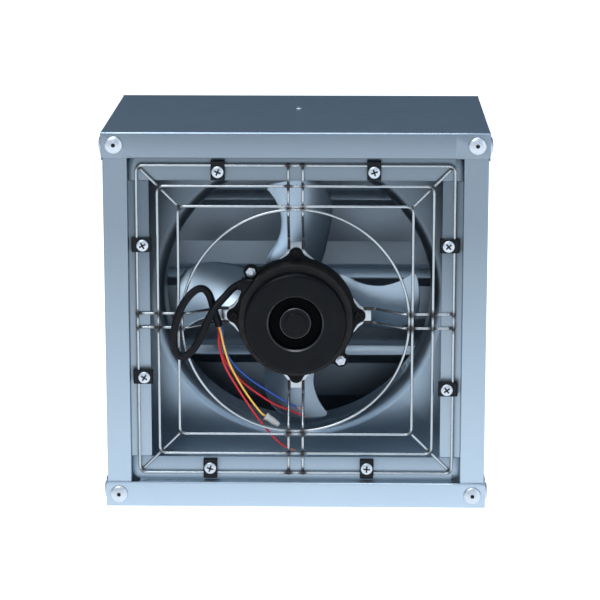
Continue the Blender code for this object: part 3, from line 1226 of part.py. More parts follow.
def main():
    """Build the fan."""
    casing = material("casing_steel", (0.42, 0.50, 0.58), 0.38, 0.85)
    wire = material("zinc_wire", (0.72, 0.76, 0.78), 0.3, 0.95)
    zinc = material("zinc_fixing", (0.80, 0.82, 0.84), 0.28, 0.95)
    black = material("black_paint", (0.012, 0.013, 0.016), 0.42, 0.0)
    lamination = material("lamination", (0.09, 0.085, 0.08), 0.55, 0.5)
    blade = material("blade_sheet", (0.60, 0.66, 0.72), 0.3, 0.9)
    shutter_sheet = material("shutter_sheet", (0.34, 0.39, 0.44), 0.35, 0.85)
    steel = material("bright_steel", (0.62, 0.62, 0.63), 0.25, 1.0)
    plastic = material("black_plastic", (0.010, 0.010, 0.012), 0.5, 0.0)
    finishes = {
        "black": plastic,
        "blue": material("blue_insulation", (0.02, 0.06, 0.35), 0.4, 0.0),
        "red": material("red_insulation", (0.45, 0.01, 0.02), 0.4, 0.0),
        "yellow": material("yellow_insulation", (0.75, 0.45, 0.08), 0.4, 0.0),
        "clear": material("crimp_plastic", (0.75, 0.75, 0.74), 0.35, 0.0),
    }
    level_panel("top_panel", 1, casing)
    level_panel("bottom_panel", -1, casing)
    side_panel("left_panel", -1, casing)
    side_panel("right_panel", 1, casing)
    orifice_plate(casing)
    guard_squares(wire)
    guard_spokes(wire)
    rivets(zinc)
    guard_clips(plastic)
    front_cap(black)
    wound_stator(lamination)
    rear_bell(black)
    motor_bracket(wire)
    bearings(steel)
    rotor_and_shaft(lamination, steel)
    ear_screws(black)
    tie_bolts(zinc)
    impeller(blade, steel)
    shutter(shutter_sheet, wire, casing)
    cable(finishes)
    for obj in PARTS.objects:
        if obj.type == "MESH":
            smooth_round(obj)


for old in list(bpy.data.objects):
    bpy.data.objects.remove(old)
PARTS = collection_named("wall_exhaust_fan")
TOOLS = collection_named("cutters")
main()
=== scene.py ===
"""Looks of the wall exhaust fan: fine surfaces, fasteners, welds, leads, materials and studio."""
import random
from math import asin, ceil, cos, hypot, pi, radians, sin, sqrt, tan, tau

import bmesh
import bpy
from bmesh.types import BMEdge, BMVert
from mathutils import Matrix, Vector
from mathutils.kdtree import KDTree


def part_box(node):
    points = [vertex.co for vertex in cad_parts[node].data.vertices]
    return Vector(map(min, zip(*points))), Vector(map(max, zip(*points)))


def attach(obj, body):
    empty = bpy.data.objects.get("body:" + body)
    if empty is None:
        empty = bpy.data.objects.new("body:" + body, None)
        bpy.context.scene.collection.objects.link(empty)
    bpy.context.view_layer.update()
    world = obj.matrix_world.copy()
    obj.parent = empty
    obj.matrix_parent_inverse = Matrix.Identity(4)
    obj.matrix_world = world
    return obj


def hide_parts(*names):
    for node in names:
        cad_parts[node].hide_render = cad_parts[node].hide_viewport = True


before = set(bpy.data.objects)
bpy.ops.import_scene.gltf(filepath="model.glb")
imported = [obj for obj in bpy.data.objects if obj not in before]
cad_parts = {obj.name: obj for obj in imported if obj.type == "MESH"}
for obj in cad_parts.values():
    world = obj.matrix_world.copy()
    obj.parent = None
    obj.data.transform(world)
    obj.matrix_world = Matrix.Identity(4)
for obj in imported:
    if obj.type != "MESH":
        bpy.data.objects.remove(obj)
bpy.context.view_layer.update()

MM = 0.001
QUARTER = pi / 2
FRONT_Y = -0.135
REAR_Y = 0.135
AXIS = Vector((0, FRONT_Y, 0.2))
HALF = 0.2
OPENING = 0.173
FLANGE = 0.025
SHEET = 0.0012
GAP = 0.0003
BEND = 0.0018
CORNER_GAP = 0.0005
RETURN_DEPTH = 0.012
FLANGE_Y = FRONT_Y + RETURN_DEPTH
SAME = 0.00001
RNG = random.Random(7)


def depth_y(depth):
    """Y of a plane that lies depth millimetres behind the front face."""
    return FRONT_Y + depth * MM


def at(x, depth, z):
    """Point that lies x and z millimetres from the axis, at a depth."""
    return Vector((x * MM, depth_y(depth), AXIS.z + z * MM))


def spot(x, depth, height):
    """Point a height in millimetres above the floor, at a depth."""
    return Vector((x * MM, depth_y(depth), height * MM))


def placed(name, data):
    """Object in the scene around its data."""
    made = bpy.data.objects.new(name, data)
    bpy.context.scene.collection.objects.link(made)
    return made


def looking(name, data, place, aim):
    """Camera or light at a place, turned to its aim."""
    made = placed(name, data)
    made.location = place
    made.rotation_euler = (Vector(aim) - Vector(place)).to_track_quat("-Z", "Y").to_euler()
    return made


# Camera, from the perspective of the casing's corners

camera = bpy.data.cameras.new("camera")
camera.lens = 148.41
camera.sensor_width = 36
camera.clip_end = 150
bpy.context.scene.camera = looking("camera", camera, (0.0563, -2.6357, 0.7937),
    (0.00483, FRONT_Y, 0.22463))


# Materials

class Nodes:
    """A material's node tree, with short calls for the nodes that it needs."""

    def __init__(self, name):
        self.material = bpy.data.materials.new(name)
        self.material.use_nodes = True
        self.tree = self.material.node_tree
        self.shader = self.tree.nodes["Principled BSDF"]
        self.place = self.tree.nodes.new("ShaderNodeTexCoord").outputs["Object"]

    def new(self, kind, inputs=None, **settings):
        """Node of a kind with its settings and its input values or links."""
        node = self.tree.nodes.new(kind)
        for key, value in settings.items():
            setattr(node, key, value)
        for key, value in (inputs or {}).items():
            self.put(node.inputs[key], value)
        return node

    def put(self, socket, value):
        """Link an output or set a value, a colour without its alpha."""
        if isinstance(value, bpy.types.NodeSocket):
            self.tree.links.new(value, socket)
        else:
            socket.default_value = (*value, 1.0) if socket.type == "RGBA" else value

    def stretched(self, scale):
        """Object coordinates with another scale along each axis."""
        return self.new("ShaderNodeMapping", {"Vector": self.place, "Scale": scale}).outputs[0]

    def axes(self, place=None):
        """The three parts of a place or direction, by their letter."""
        return self.new("ShaderNodeSeparateXYZ", {"Vector": place or self.place}).outputs

    def noise(self, scale, detail=3.0, rough=0.55, place=None):
        """Noise between 0 and 1."""
        return self.new("ShaderNodeTexNoise", {"Vector": place or self.place, "Scale": scale,
            "Detail": detail, "Roughness": rough}).outputs[0]

    def spread(self, value, low, high, start=0.3, end=0.7):
        """Value moved from start..end to low..high."""
        return self.new("ShaderNodeMapRange", {"Value": value, "From Min": start, "From Max": end,
            "To Min": low, "To Max": high}).outputs[0]

    def blend(self, factor, first, second, mode="MIX"):
        """Mix of two colours."""
        return self.new("ShaderNodeMix", {0: factor, 6: first, 7: second}, data_type="RGBA",
            blend_type=mode).outputs[2]

    def maths(self, operation, first, second=0.0):
        """Result of one calculation."""
        return self.new("ShaderNodeMath", {0: first, 1: second}, operation=operation).outputs[0]

    def bump(self, height, distance, strength=1.0):
        """Bump on the shader's normal, over any that is there already."""
        node = self.new("ShaderNodeBump", {"Height": height, "Distance": distance,
            "Strength": strength})
        socket = self.shader.inputs["Normal"]
        if socket.is_linked:
            self.put(node.inputs["Normal"], socket.links[0].from_socket)
        self.put(socket, node.outputs[0])

    def finish(self, **values):
        """Put values on the shader and give back the material."""
        names = {"colour": "Base Color", "rough": "Roughness", "metal": "Metallic",
            "spec": "Specular IOR Level", "under": "Subsurface Weight",
            "glow": "Emission Strength"}
        for key, value in values.items():
            self.put(self.shader.inputs[names[key]], value)
        return self.material


def galvanised(name, dark, light, rough=0.36, metal=0.86, wave=0.25, painted_shading=None, lines=0.2):
    """Zinc-coated sheet: faint spangle, rolling lines, slight waviness and rubbed marks, with
    painted light and shade multiplied in where asked.
    """
    m = Nodes(name)
    cells = m.new("ShaderNodeTexVoronoi", {"Vector": m.place, "Scale": 160.0})
    grain = m.new("ShaderNodeSeparateColor", {"Color": cells.outputs["Color"]}).outputs[0]
    cloud = m.noise(4.0, 3.0, 0.5)
    rolled = m.noise(60.0, 2.0, 0.5, m.stretched((1.0, 1.0, 14.0)))
    tone = m.maths("ADD", m.maths("MULTIPLY", grain, 0.10), m.maths("MULTIPLY", cloud, 0.90))
    colour = m.blend(m.spread(tone, 0.0, 1.0, 0.25, 0.75), dark, light)
    stain = m.spread(m.noise(23.0, 6.0, 0.7), 0.0, 0.14, 0.64, 0.80)
    colour = m.blend(stain, colour, tuple(c * 0.72 for c in dark))
    # painted light and shade, when given, multiplies the colour
    if painted_shading:
        colour = m.blend(1.0, colour, painted_shading(m), "MULTIPLY")
    gloss = m.maths("ADD", m.spread(rolled, rough - 0.01, rough + 0.02),
        m.maths("MULTIPLY", grain, 0.02))
    m.bump(m.noise(3.2, 1.0, 0.4), 0.001, wave)
    if lines:
        m.bump(rolled, 0.00001, lines)
    return m.finish(colour=colour, rough=gloss, metal=metal)


def painted_panel_shade(m):
    """Painted shade for a panel: darker higher up and in the recessed flanges, lifted back to
    nearly full tone on the top wall.
    """
    x, y, z = m.axes()
    # painted shade: the colour darkens towards the top of the casing
    height = m.spread(z, 1.0, 0.55, 0.01, 0.30)
    level = m.maths("ABSOLUTE", m.maths("SUBTRACT", z, AXIS.z))
    inside = m.maths("MULTIPLY", m.maths("LESS_THAN", m.maths("ABSOLUTE", x), 0.1732),
        m.maths("LESS_THAN", level, 0.1732))
    # painted shade in the recessed flanges inside the front opening
    recess = m.maths("LESS_THAN", m.maths("ABSOLUTE", m.maths("ADD", y, 0.1229)), 0.003)
    flange = m.maths("MULTIPLY", m.maths("MULTIPLY", inside, recess), -0.13)
    # the top wall is lifted back out of the painted shade
    top = m.maths("MULTIPLY", m.maths("GREATER_THAN", z, 0.3984), 0.42)
    return m.maths("ADD", m.maths("ADD", height, flange), top)


def painted_plate_shade(m):
    """Painted shade for the orifice plate: darker from its middle upwards, lighter towards the
    bottom.
    """
    return m.spread(m.axes()["Z"], 1.2, 0.30, 0.055, 0.205)


def painted_hem_light(m):
    """Painted light for a louvre: faces that turn upwards, such as its upper strip that leans back,
    are made up to 3.2 times lighter.
    """
    facing = m.new("ShaderNodeTexCoord").outputs["Normal"]
    return m.spread(m.axes(facing)["Z"], 1.0, 3.2, 0.15, 0.30)


def burnt_zinc(name):
    """Zinc-plated wire that turns dark at its welds, read from the burn attribute."""
    m = Nodes(name)
    burn = m.new("ShaderNodeAttribute", attribute_name="burn").outputs["Fac"]
    patchy = m.noise(420.0, 4.0, 0.65)
    mask = m.maths("MULTIPLY", burn, m.spread(patchy, 0.80, 1.50, 0.3, 0.62))
    mask = m.new("ShaderNodeClamp", {"Value": mask}).outputs[0]
    zinc = m.blend(m.noise(60.0, 3.0), (0.26, 0.295, 0.32), (0.38, 0.415, 0.44))
    colour = m.blend(mask, zinc, (0.018, 0.017, 0.018))
    m.bump(m.maths("MULTIPLY", patchy, mask), 0.00020, 0.4)
    return m.finish(colour=colour, rough=m.spread(mask, 0.24, 0.62, 0.0, 1.0),
        metal=m.spread(mask, 0.95, 0.35, 0.0, 1.0))


def bright_zinc(name, colour, rough):
    """Bright plated fastener."""
    m = Nodes(name)
    tone = m.blend(m.noise(300.0, 3.0), tuple(c * 0.82 for c in colour), colour)
    gloss = m.spread(m.noise(500.0, 2.0), rough, rough + 0.12)
    return m.finish(colour=tone, rough=gloss, metal=1.0)


def black_paint(name, spec=0.08):
    """Satin black powder coat."""
    m = Nodes(name)
    peel = m.noise(900.0, 3.0, 0.5)
    dust = m.spread(m.noise(40.0, 5.0, 0.65), 0.0, 1.0, 0.42, 0.75)
    colour = m.blend(dust, (0.0021, 0.0026, 0.0037), (0.0035, 0.0043, 0.0057))
    m.bump(peel, 0.00005, 0.3)
    return m.finish(colour=colour, rough=m.spread(m.noise(60.0, 4.0), 0.27, 0.34), spec=spec)


def plastic(name, colour, rough=0.45, grain=0.00005, spec=0.45, **more):
    """Moulded plastic or insulation."""
    m = Nodes(name)
    tone = m.blend(m.noise(120.0, 4.0), tuple(c * 0.84 for c in colour), colour)
    m.bump(m.noise(1500.0, 2.0), grain, 0.4)
    return m.finish(colour=tone, rough=m.spread(m.noise(260.0, 3.0), rough - 0.05, rough + 0.08),
        spec=spec, **more)


def laminations(name):
    """Stack of half-millimetre electrical steel sheets seen on edge."""
    m = Nodes(name)
    leaf = m.maths("FRACT", m.maths("MULTIPLY", m.axes()["Y"], 1700.0))
    leaf = m.maths("PINGPONG", leaf, 0.5)
    tone = m.blend(m.noise(80.0, 4.0), (0.010, 0.010, 0.011), (0.031, 0.030, 0.030))
    colour = m.blend(m.spread(leaf, 1.0, 0.0, 0.0, 0.2), tone, (0.006, 0.006, 0.006))
    m.bump(leaf, 0.0002, 0.6)
    return m.finish(colour=colour, rough=0.5, metal=0.4, spec=0.1)


def copper(name):
    """Bright bare copper strands."""
    m = Nodes(name)
    tone = m.blend(m.noise(700.0, 3.0), (0.55, 0.24, 0.12), (0.85, 0.45, 0.26))
    return m.finish(colour=tone, rough=0.32, metal=1.0)


# Casing sheet, with painted shade that darkens it higher up and in its flanges
CASING = galvanised("casing_steel", (0.305, 0.382, 0.455), (0.34, 0.42, 0.495), 0.34,
    painted_shading=painted_panel_shade)
# Orifice sheet, with painted shade that darkens it from its middle upwards
ORIFICE = galvanised("orifice_steel", (0.29, 0.38, 0.47), (0.34, 0.43, 0.52), 0.30, wave=0.12,
    painted_shading=painted_plate_shade, lines=0.0)
BLADE = galvanised("blade_sheet", (0.25, 0.32, 0.39), (0.29, 0.365, 0.435), 0.30, 0.94, 0.08,
    lines=0.0)
# Louvre sheet, with painted light on its upward faces
SHUTTER = galvanised("shutter_sheet", (0.20, 0.25, 0.30), (0.24, 0.29, 0.34), 0.33, 0.9, 0.08,
    painted_shading=painted_hem_light, lines=0.0)
HUB = galvanised("impeller_hub_steel", (0.25, 0.30, 0.35), (0.33, 0.38, 0.43), 0.36)
WIRE = burnt_zinc("zinc_wire")
ZINC = bright_zinc("zinc_fixing", (0.47, 0.52, 0.57), 0.36)
STEEL = bright_zinc("bright_steel", (0.60, 0.60, 0.61), 0.22)
BLACK = black_paint("black_paint")
RIM = black_paint("black_rim", 0.9)
# Painted shade: a darker black for the front cap's annular recess
PAINTED_RECESS_SHADE = plastic("painted_recess_shade", (0.0012, 0.0014, 0.0018), 0.5, spec=0.02)
CLIP = plastic("black_plastic", (0.006, 0.007, 0.009), 0.42, spec=0.12)
SHEATH = plastic("cable_sheath_rubber", (0.0045, 0.0052, 0.0068), 0.40, 0.00003, 0.10)
# Painted shade: a near-black for the rivet bores and the screws' cross recesses
HOLE_SHADE = plastic("painted_bore_shade", (0.006, 0.006, 0.007), 0.7)
INSULATION = {word: plastic(word + "_insulation", colour, 0.33, 0.00002, 0.4) for word, colour in (
    ("blue", (0.010, 0.055, 0.30)), ("red", (0.44, 0.010, 0.018)), ("yellow", (0.72, 0.43, 0.08)))}
CRIMP = plastic("crimp_plastic", (0.42, 0.42, 0.43), 0.30, 0.00002, 0.5, under=0.25)
LAMINATION = laminations("lamination")
COPPER = copper("copper")


# Modelling helpers

def shade(mesh, angle):
    """Smooth shading up to edges sharper than angle degrees, or none for 0."""
    if angle:
        mesh.shade_smooth()
        mesh.set_sharp_from_angle(angle=radians(angle))


def link(name, bm, finish, smooth=32):
    """Object made from a bmesh, which is freed, shaded smooth up to its sharp edges."""
    mesh = bpy.data.meshes.new(name)
    bm.to_mesh(mesh)
    bm.free()
    mesh.materials.append(finish)
    shade(mesh, smooth)
    return placed(name, mesh)


def only(kind, geom):
    """Elements of one kind out of a mesh operation's result."""
    return [g for g in geom if isinstance(g, kind)]


def outwards(bm):
    """Face normals that agree and point out of a closed shape."""
    bmesh.ops.recalc_face_normals(bm, faces=bm.faces[:])


def evaluated(obj):
    """Mesh of an object as its curve or its modifiers shape it."""
    bpy.context.view_layer.update()
    graph = bpy.context.evaluated_depsgraph_get()
    return bpy.data.meshes.new_from_object(obj.evaluated_get(graph))


def softened(obj, width, segments=2, angle=30, smooth=35):
    """The object with its modifiers applied and its sharp edges broken by width millimetres."""
    edge = obj.modifiers.new("Edge", "BEVEL")
    edge.width = width * MM
    edge.segments = segments
    edge.limit_method = "ANGLE"
    edge.angle_limit = radians(angle)
    obj.data = evaluated(obj)
    obj.modifiers.clear()
    shade(obj.data, smooth)
    return obj


def carry(piece, slot, *nodes, body="casing"):
    """Let a piece ride on its body and stand for nodes; slot is not used."""
    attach(piece, body)
    if nodes:
        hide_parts(*nodes)


def arc(centre, radius, start, end, steps):
    """Points on an arc, with both of its ends."""
    turns = [start + (end - start) * i / steps for i in range(steps + 1)]
    return [(centre[0] + radius * cos(turn), centre[1] + radius * sin(turn)) for turn in turns]


def rounded(profile, radius, steps=3):
    """Open profile with every inner corner rounded as far as its sides allow."""
    made = [profile[0]]
    for before, corner, after in zip(profile, profile[1:], profile[2:]):
        corner = Vector(corner)
        a, b = Vector(before) - corner, Vector(after) - corner
        angle = a.angle(b)
        if angle > radians(172):
            made.append(tuple(corner))
            continue
        cut = min(radius / tan(angle / 2), a.length * 0.45, b.length * 0.45)
        start, end = corner + a.normalized() * cut, corner + b.normalized() * cut
        for i in range(steps + 1):
            t = i / steps
            made.append(tuple(start * (1 - t) ** 2 + corner * 2 * t * (1 - t) + end * t ** 2))
    return made + [profile[-1]]


def lathe(name, profile, steps, finish, place=AXIS, axis=(0, -1, 0), closed=False):
    """Turned piece from (radius, height) points in millimetres; height runs along axis."""
    bm = bmesh.new()
    turns = [tau * k / steps for k in range(steps)]
    rings = [[bm.verts.new((r * MM * cos(turn), r * MM * sin(turn), h * MM))
        for turn in (turns if r else turns[:1])] for r, h in profile]
    for one, two in zip(rings, rings[1:] + (rings[:1] if closed else [])):
        for k in range(steps):
            n = (k + 1) % steps
            face = dict.fromkeys(ring[i % len(ring)] for ring, i in (
                (one, k), (one, n), (two, n), (two, k)))
            if len(face) > 2:
                bm.faces.new(list(face))
    outwards(bm)
    made = link(name, bm, finish)
    made.rotation_mode = "QUATERNION"
    made.rotation_quaternion = Vector((0, 0, 1)).rotation_difference(Vector(axis))
    made.location = place
    return made


def fan_lathe(name, profile, steps, finish, closed=True):
    """Turned piece about the fan's axis from (radius, depth) points."""
    return lathe(name, [(r, -d) for r, d in profile], steps, finish, closed=closed)


def filleted(points, radius, steps, cyclic=False):
    """Path with its inner corners replaced by arcs that touch both sides."""
    points = [Vector(point) for point in points]
    path = []
    for i, corner in enumerate(points):
        if not cyclic and i in (0, len(points) - 1):
            path.append(corner)
            continue
        before = (points[i - 1] - corner).normalized()
        after = (points[(i + 1) % len(points)] - corner).normalized()
        half = before.angle(after) / 2
        inward = (before + after).normalized() * radius / sin(half)
        start = before * radius / tan(half) - inward
        end = after * radius / tan(half) - inward
        for j in range(steps + 1):
            path.append(corner + inward + start.slerp(end, j / steps).normalized() * radius)
    return path


def resampled(path, cyclic=False):
    """Points along a path, no more than WIRE_STEP apart."""
    loop = path + [path[0]] if cyclic else path
    made = [loop[0]]
    for a, b in zip(loop, loop[1:]):
        pieces = max(1, ceil((b - a).length / WIRE_STEP))
        made += [a.lerp(b, j / pieces) for j in range(1, pieces + 1)]
    return made[:-1] if cyclic else made


def tube_mesh(name, paths, radius, finish, sides, cyclic=False):
    """Round wires along paths, as one mesh object."""
    bm = bmesh.new()
    turns = [tau * k / sides for k in range(sides)]
    for path in paths:
        ahead = path[1:] + (path[:1] if cyclic else path[-1:])
        behind = (path[-1:] if cyclic else path[:1]) + path[:-1]
        tangents = [(a - b).normalized() for a, b in zip(ahead, behind)]
        normal = tangents[0].orthogonal().normalized()
        rings = []
        for point, tangent in zip(path, tangents):
            normal = (normal - tangent * normal.dot(tangent)).normalized()
            side = tangent.cross(normal)
            rings.append([bm.verts.new(point + (normal * cos(turn) + side * sin(turn)) * radius)
                for turn in turns])
        pairs = list(zip(rings, rings[1:]))
        if cyclic:
            last, first = rings[-1], rings[0]
            turned = [first[s:] + first[:s] for s in range(sides)]
            pairs.append((last, min(turned, key=lambda ring: sum(
                (a.co - b.co).length for a, b in zip(last, ring)))))
        for one, two in pairs:
            for k in range(sides):
                n = (k + 1) % sides
                bm.faces.new((one[k], one[n], two[n], two[k]))
        if not cyclic:
            bm.faces.new(rings[0][::-1])
            bm.faces.new(rings[-1])
    outwards(bm)
    return link(name, bm, finish, 60)


def turn_point(point, angle):
    """Point turned about the origin of its plane."""
    x, z = point
    return (x * cos(angle) - z * sin(angle), x * sin(angle) + z * cos(angle))


def polar(lateral, radial, depth, angle):
    """Point beside and along a line that leaves the axis at angle, at a depth."""
    x, z = turn_point((radial, lateral), angle)
    return at(x, depth, z)


def plate(name, outlines, front, rear, finish, bevel):
    """Flat plate square to the axis between two depths, from outlines in millimetres."""
    curve = bpy.data.curves.new(name, "CURVE")
    curve.dimensions = "2D"
    curve.fill_mode = "BOTH"
    curve.extrude = (rear - front) / 2 * MM - bevel * MM
    curve.bevel_depth = bevel * MM
    curve.bevel_resolution = 1
    curve.offset = -bevel * MM
    for outline in outlines:
        spline = curve.splines.new("POLY")
        spline.points.add(len(outline) - 1)
        for point, (x, z) in zip(spline.points, outline):
            point.co = (x * MM, z * MM, 0, 1)
        spline.use_cyclic_u = True
    drawn = placed(name + "_curve", curve)
    bm = bmesh.new()
    bm.from_mesh(evaluated(drawn))
    bpy.data.objects.remove(drawn)
    bmesh.ops.remove_doubles(bm, verts=bm.verts[:], dist=SAME)
    outwards(bm)
    piece = link(name, bm, finish, 28)
    piece.location = at(0, (front + rear) / 2, 0)
    piece.rotation_euler = (QUARTER, 0, 0)
    return piece


def stand(piece, place, turn):
    """Set a piece at a place, its top towards the front, turned about its height."""
    piece.matrix_world = (Matrix.Translation(place) @ Matrix.Rotation(QUARTER, 4, "X")
        @ Matrix.Rotation(turn, 4, "Z"))


def circle_points(centre, radius, steps):
    """Points round a full circle."""
    return arc(centre, radius, 0, tau, steps)[:-1]


# Folded sheet

def near(value, target):
    """True where two lengths agree."""
    return abs(value - target) < SAME


def sheet_grid(xs, ys, place):
    """Open sheet with a vertex at every pair of the stations."""
    bm = bmesh.new()
    bmesh.ops.create_grid(bm, x_segments=len(xs) - 1, y_segments=len(ys) - 1, size=1)
    for vert in bm.verts:
        column = round((vert.co.x + 1) / 2 * (len(xs) - 1))
        row = round((vert.co.y + 1) / 2 * (len(ys) - 1))
        vert.co = place(xs[column], ys[row])
    return bm


def fold(bm, picked, shift):
    """Extrude the free edges whose two ends picked accepts."""
    edges = [e for e in bm.edges if e.is_boundary and all(picked(v.co) for v in e.verts)]
    made = bmesh.ops.extrude_edge_only(bm, edges=edges)["geom"]
    bmesh.ops.translate(bm, verts=only(BMVert, made), vec=shift)


def round_bends(bm, skipped):
    """Give the folds their bend radius."""
    edges = [e for e in bm.edges if len(e.link_faces) == 2
        and e.calc_face_angle() > radians(45)
        and not skipped((e.verts[0].co + e.verts[1].co) / 2)]
    bmesh.ops.bevel(bm, geom=edges, offset=BEND, segments=4, profile=0.5, affect="EDGES",
        clamp_overlap=True)


def round_corners(bm, picked, radius):
    """Round the free corners that picked accepts."""
    verts = [v for v in bm.verts if v.is_boundary and picked(v.co)]
    bmesh.ops.bevel(bm, geom=verts, offset=radius, segments=4, profile=0.5, affect="VERTICES")


def face_outwards(bm, is_wall, outward):
    """Turn the whole sheet so that its main wall faces outward."""
    outwards(bm)
    walls = [f for f in bm.faces if is_wall(f.calc_center_median())]
    if max(walls, key=lambda f: f.calc_area()).normal.dot(outward) < 0:
        bmesh.ops.reverse_faces(bm, faces=bm.faces[:])


def thick(obj, thickness, offset):
    """Sheet thickness on an open mesh."""
    step = obj.modifiers.new("Sheet", "SOLIDIFY")
    step.thickness = thickness
    step.offset = offset
    step.use_quality_normals = True
    return step


def sheet_piece(node, bm, finish, thickness=SHEET, slot="casing_steel", body="casing"):
    """Open sheet made thick, with its cut edges broken a little, for one node."""
    made = link(node + "_fine", bm, finish, 0)
    thick(made, thickness, -1.0).use_even_offset = True
    carry(softened(made, 0.22, angle=60), slot, node, body=body)


def level_panel(name, sign):
    """Top or bottom panel with its lips, side tabs, return and flange."""
    wall_z = AXIS.z + sign * HALF
    lip_z = AXIS.z + sign * OPENING
    relief, tab, rear_fold, corner = 0.008, 0.030, 0.015, 0.004
    flange_half = OPENING - CORNER_GAP
    return_half = flange_half - relief
    xs = (-HALF, -return_half, return_half, HALF)
    ys = (FRONT_Y, FRONT_Y + 0.003, REAR_Y - 0.003, REAR_Y)
    bm = sheet_grid(xs, ys, lambda x, y: Vector((x, y, wall_z)))
    fold(bm, lambda p: near(p.y, FRONT_Y), (0, 0, lip_z - wall_z))
    fold(bm, lambda p: near(p.z, lip_z) and abs(p.x) < return_half + SAME, (0, RETURN_DEPTH, 0))
    fold(bm, lambda p: near(p.y, FLANGE_Y), (0, 0, -sign * FLANGE))
    for side in (-1, 1):
        fold(bm, lambda p: near(p.x, side * return_half) and near(p.y, FLANGE_Y),
            (side * relief, 0, 0))
        fold(bm, lambda p: near(p.x, side * HALF) and near(p.z, wall_z)
            and FRONT_Y + SAME < p.y < REAR_Y - SAME, (0, 0, -sign * tab))
    fold(bm, lambda p: near(p.y, REAR_Y) and near(p.z, wall_z), (0, 0, -sign * rear_fold))
    bmesh.ops.remove_doubles(bm, verts=bm.verts[:], dist=SAME)
    round_corners(bm, lambda p: near(abs(p.x), HALF) and near(p.y, FRONT_Y) and near(p.z, lip_z),
        corner)
    round_corners(bm, lambda p: near(abs(p.x), flange_half) and near(p.y, FLANGE_Y)
        and near(p.z, lip_z), relief - CORNER_GAP)
    round_bends(bm, lambda p: near(p.y, FLANGE_Y) and near(p.z, lip_z))
    face_outwards(bm, lambda p: near(p.z, wall_z), Vector((0, 0, sign)))
    sheet_piece(name, bm, CASING)


def side_panel(name, side):
    """Side panel between the two level panels."""
    wall_x = side * (HALF - SHEET - GAP)
    lip_x = side * OPENING
    front = FRONT_Y + SHEET + GAP
    rear = REAR_Y - SHEET - GAP
    half_height = HALF - SHEET - GAP
    return_half = OPENING - CORNER_GAP
    flange_half = OPENING - FLANGE - GAP
    levels = [AXIS.z + z for z in (-half_height, -return_half, -flange_half, flange_half,
        return_half, half_height)]
    bm = sheet_grid((front, rear), levels, lambda y, z: Vector((wall_x, y, z)))
    fold(bm, lambda p: near(p.y, front), (lip_x - wall_x, 0, 0))
    fold(bm, lambda p: near(p.x, lip_x) and abs(p.z - AXIS.z) < return_half + SAME,
        (0, FLANGE_Y - front, 0))
    fold(bm, lambda p: near(p.y, FLANGE_Y) and abs(p.z - AXIS.z) < flange_half + SAME,
        (-side * 0.021, 0, 0))
    fold(bm, lambda p: near(p.y, rear), (side * 0.185 - wall_x, 0, 0))
    round_bends(bm, lambda p: near(p.y, FLANGE_Y))
    face_outwards(bm, lambda p: near(p.x, wall_x), Vector((side, 0, 0)))
    sheet_piece(name, bm, CASING)


def orifice():
    """Orifice plate with its bell mouth."""
    plate_y = depth_y(126)
    half_x = HALF - 0.003
    half_z = HALF - 0.0015
    corner = 0.006
    bm = bmesh.new()
    rim = bmesh.ops.create_circle(bm, segments=144, radius=0.160)["verts"]
    corners = filleted([(-half_x, -half_z, 0), (half_x, -half_z, 0), (half_x, half_z, 0),
        (-half_x, half_z, 0)], corner, 6, cyclic=True)
    outline = [bm.verts.new(c) for c in corners]
    for first, second in zip(outline, outline[1:] + outline[:1]):
        bm.edges.new((first, second))
    bmesh.ops.triangle_fill(bm, use_beauty=True, edges=bm.edges[:])
    for vert in bm.verts:
        vert.co = (vert.co.x, plate_y, AXIS.z + vert.co.y)
    fold(bm, lambda p: max(abs(p.x) - half_x, abs(p.z - AXIS.z) - half_z) > -corner,
        (0, 0.052, 0))
    loop = [e for e in bm.edges if e.is_boundary and all(v in rim for v in e.verts)]
    curl = arc((160, 140), 14, -QUARTER, -pi, 14)[1:] + [(146, 177.2), (146.4, 178)]
    for radius, depth in curl:
        made = bmesh.ops.extrude_edge_only(bm, edges=loop)["geom"]
        loop = [e for e in only(BMEdge, made) if e.is_boundary]
        for vert in only(BMVert, made):
            out = Vector((vert.co.x, 0, vert.co.z - AXIS.z)).normalized() * radius
            vert.co = at(out.x, depth, out.z)
    face_outwards(bm, lambda p: near(p.y, plate_y), Vector((0, -1, 0)))
    sheet_piece("orifice_plate", bm, ORIFICE)


# Guard

WIRE_R = 1.5
WIRE_STEP = 0.0025
BEND_R = 7.0
SPOKE_SIDE = 7.5
BACK = 10.2
FRONT = 7.4
OUTER, MIDDLE, INNER, CIRCLE = 164.5, 143.0, 121.8, 118.5


def burn_at(obj, welds, reach):
    """Write the burn attribute: 1 at a weld, 0 beyond its reach."""
    tree = KDTree(len(welds))
    for i, (place, _) in enumerate(welds):
        tree.insert(place, i)
    tree.balance()
    values = []
    for vert in obj.data.vertices:
        found = tree.find_range(vert.co, reach * 1.3)
        shares = [1.0 - gap / (reach * welds[i][1]) for _, i, gap in found]
        values.append(max(0.0, min(1.0, 1.8 * max(shares, default=0.0))))
    obj.data.attributes.new("burn", "FLOAT", "POINT").data.foreach_set("value", values)


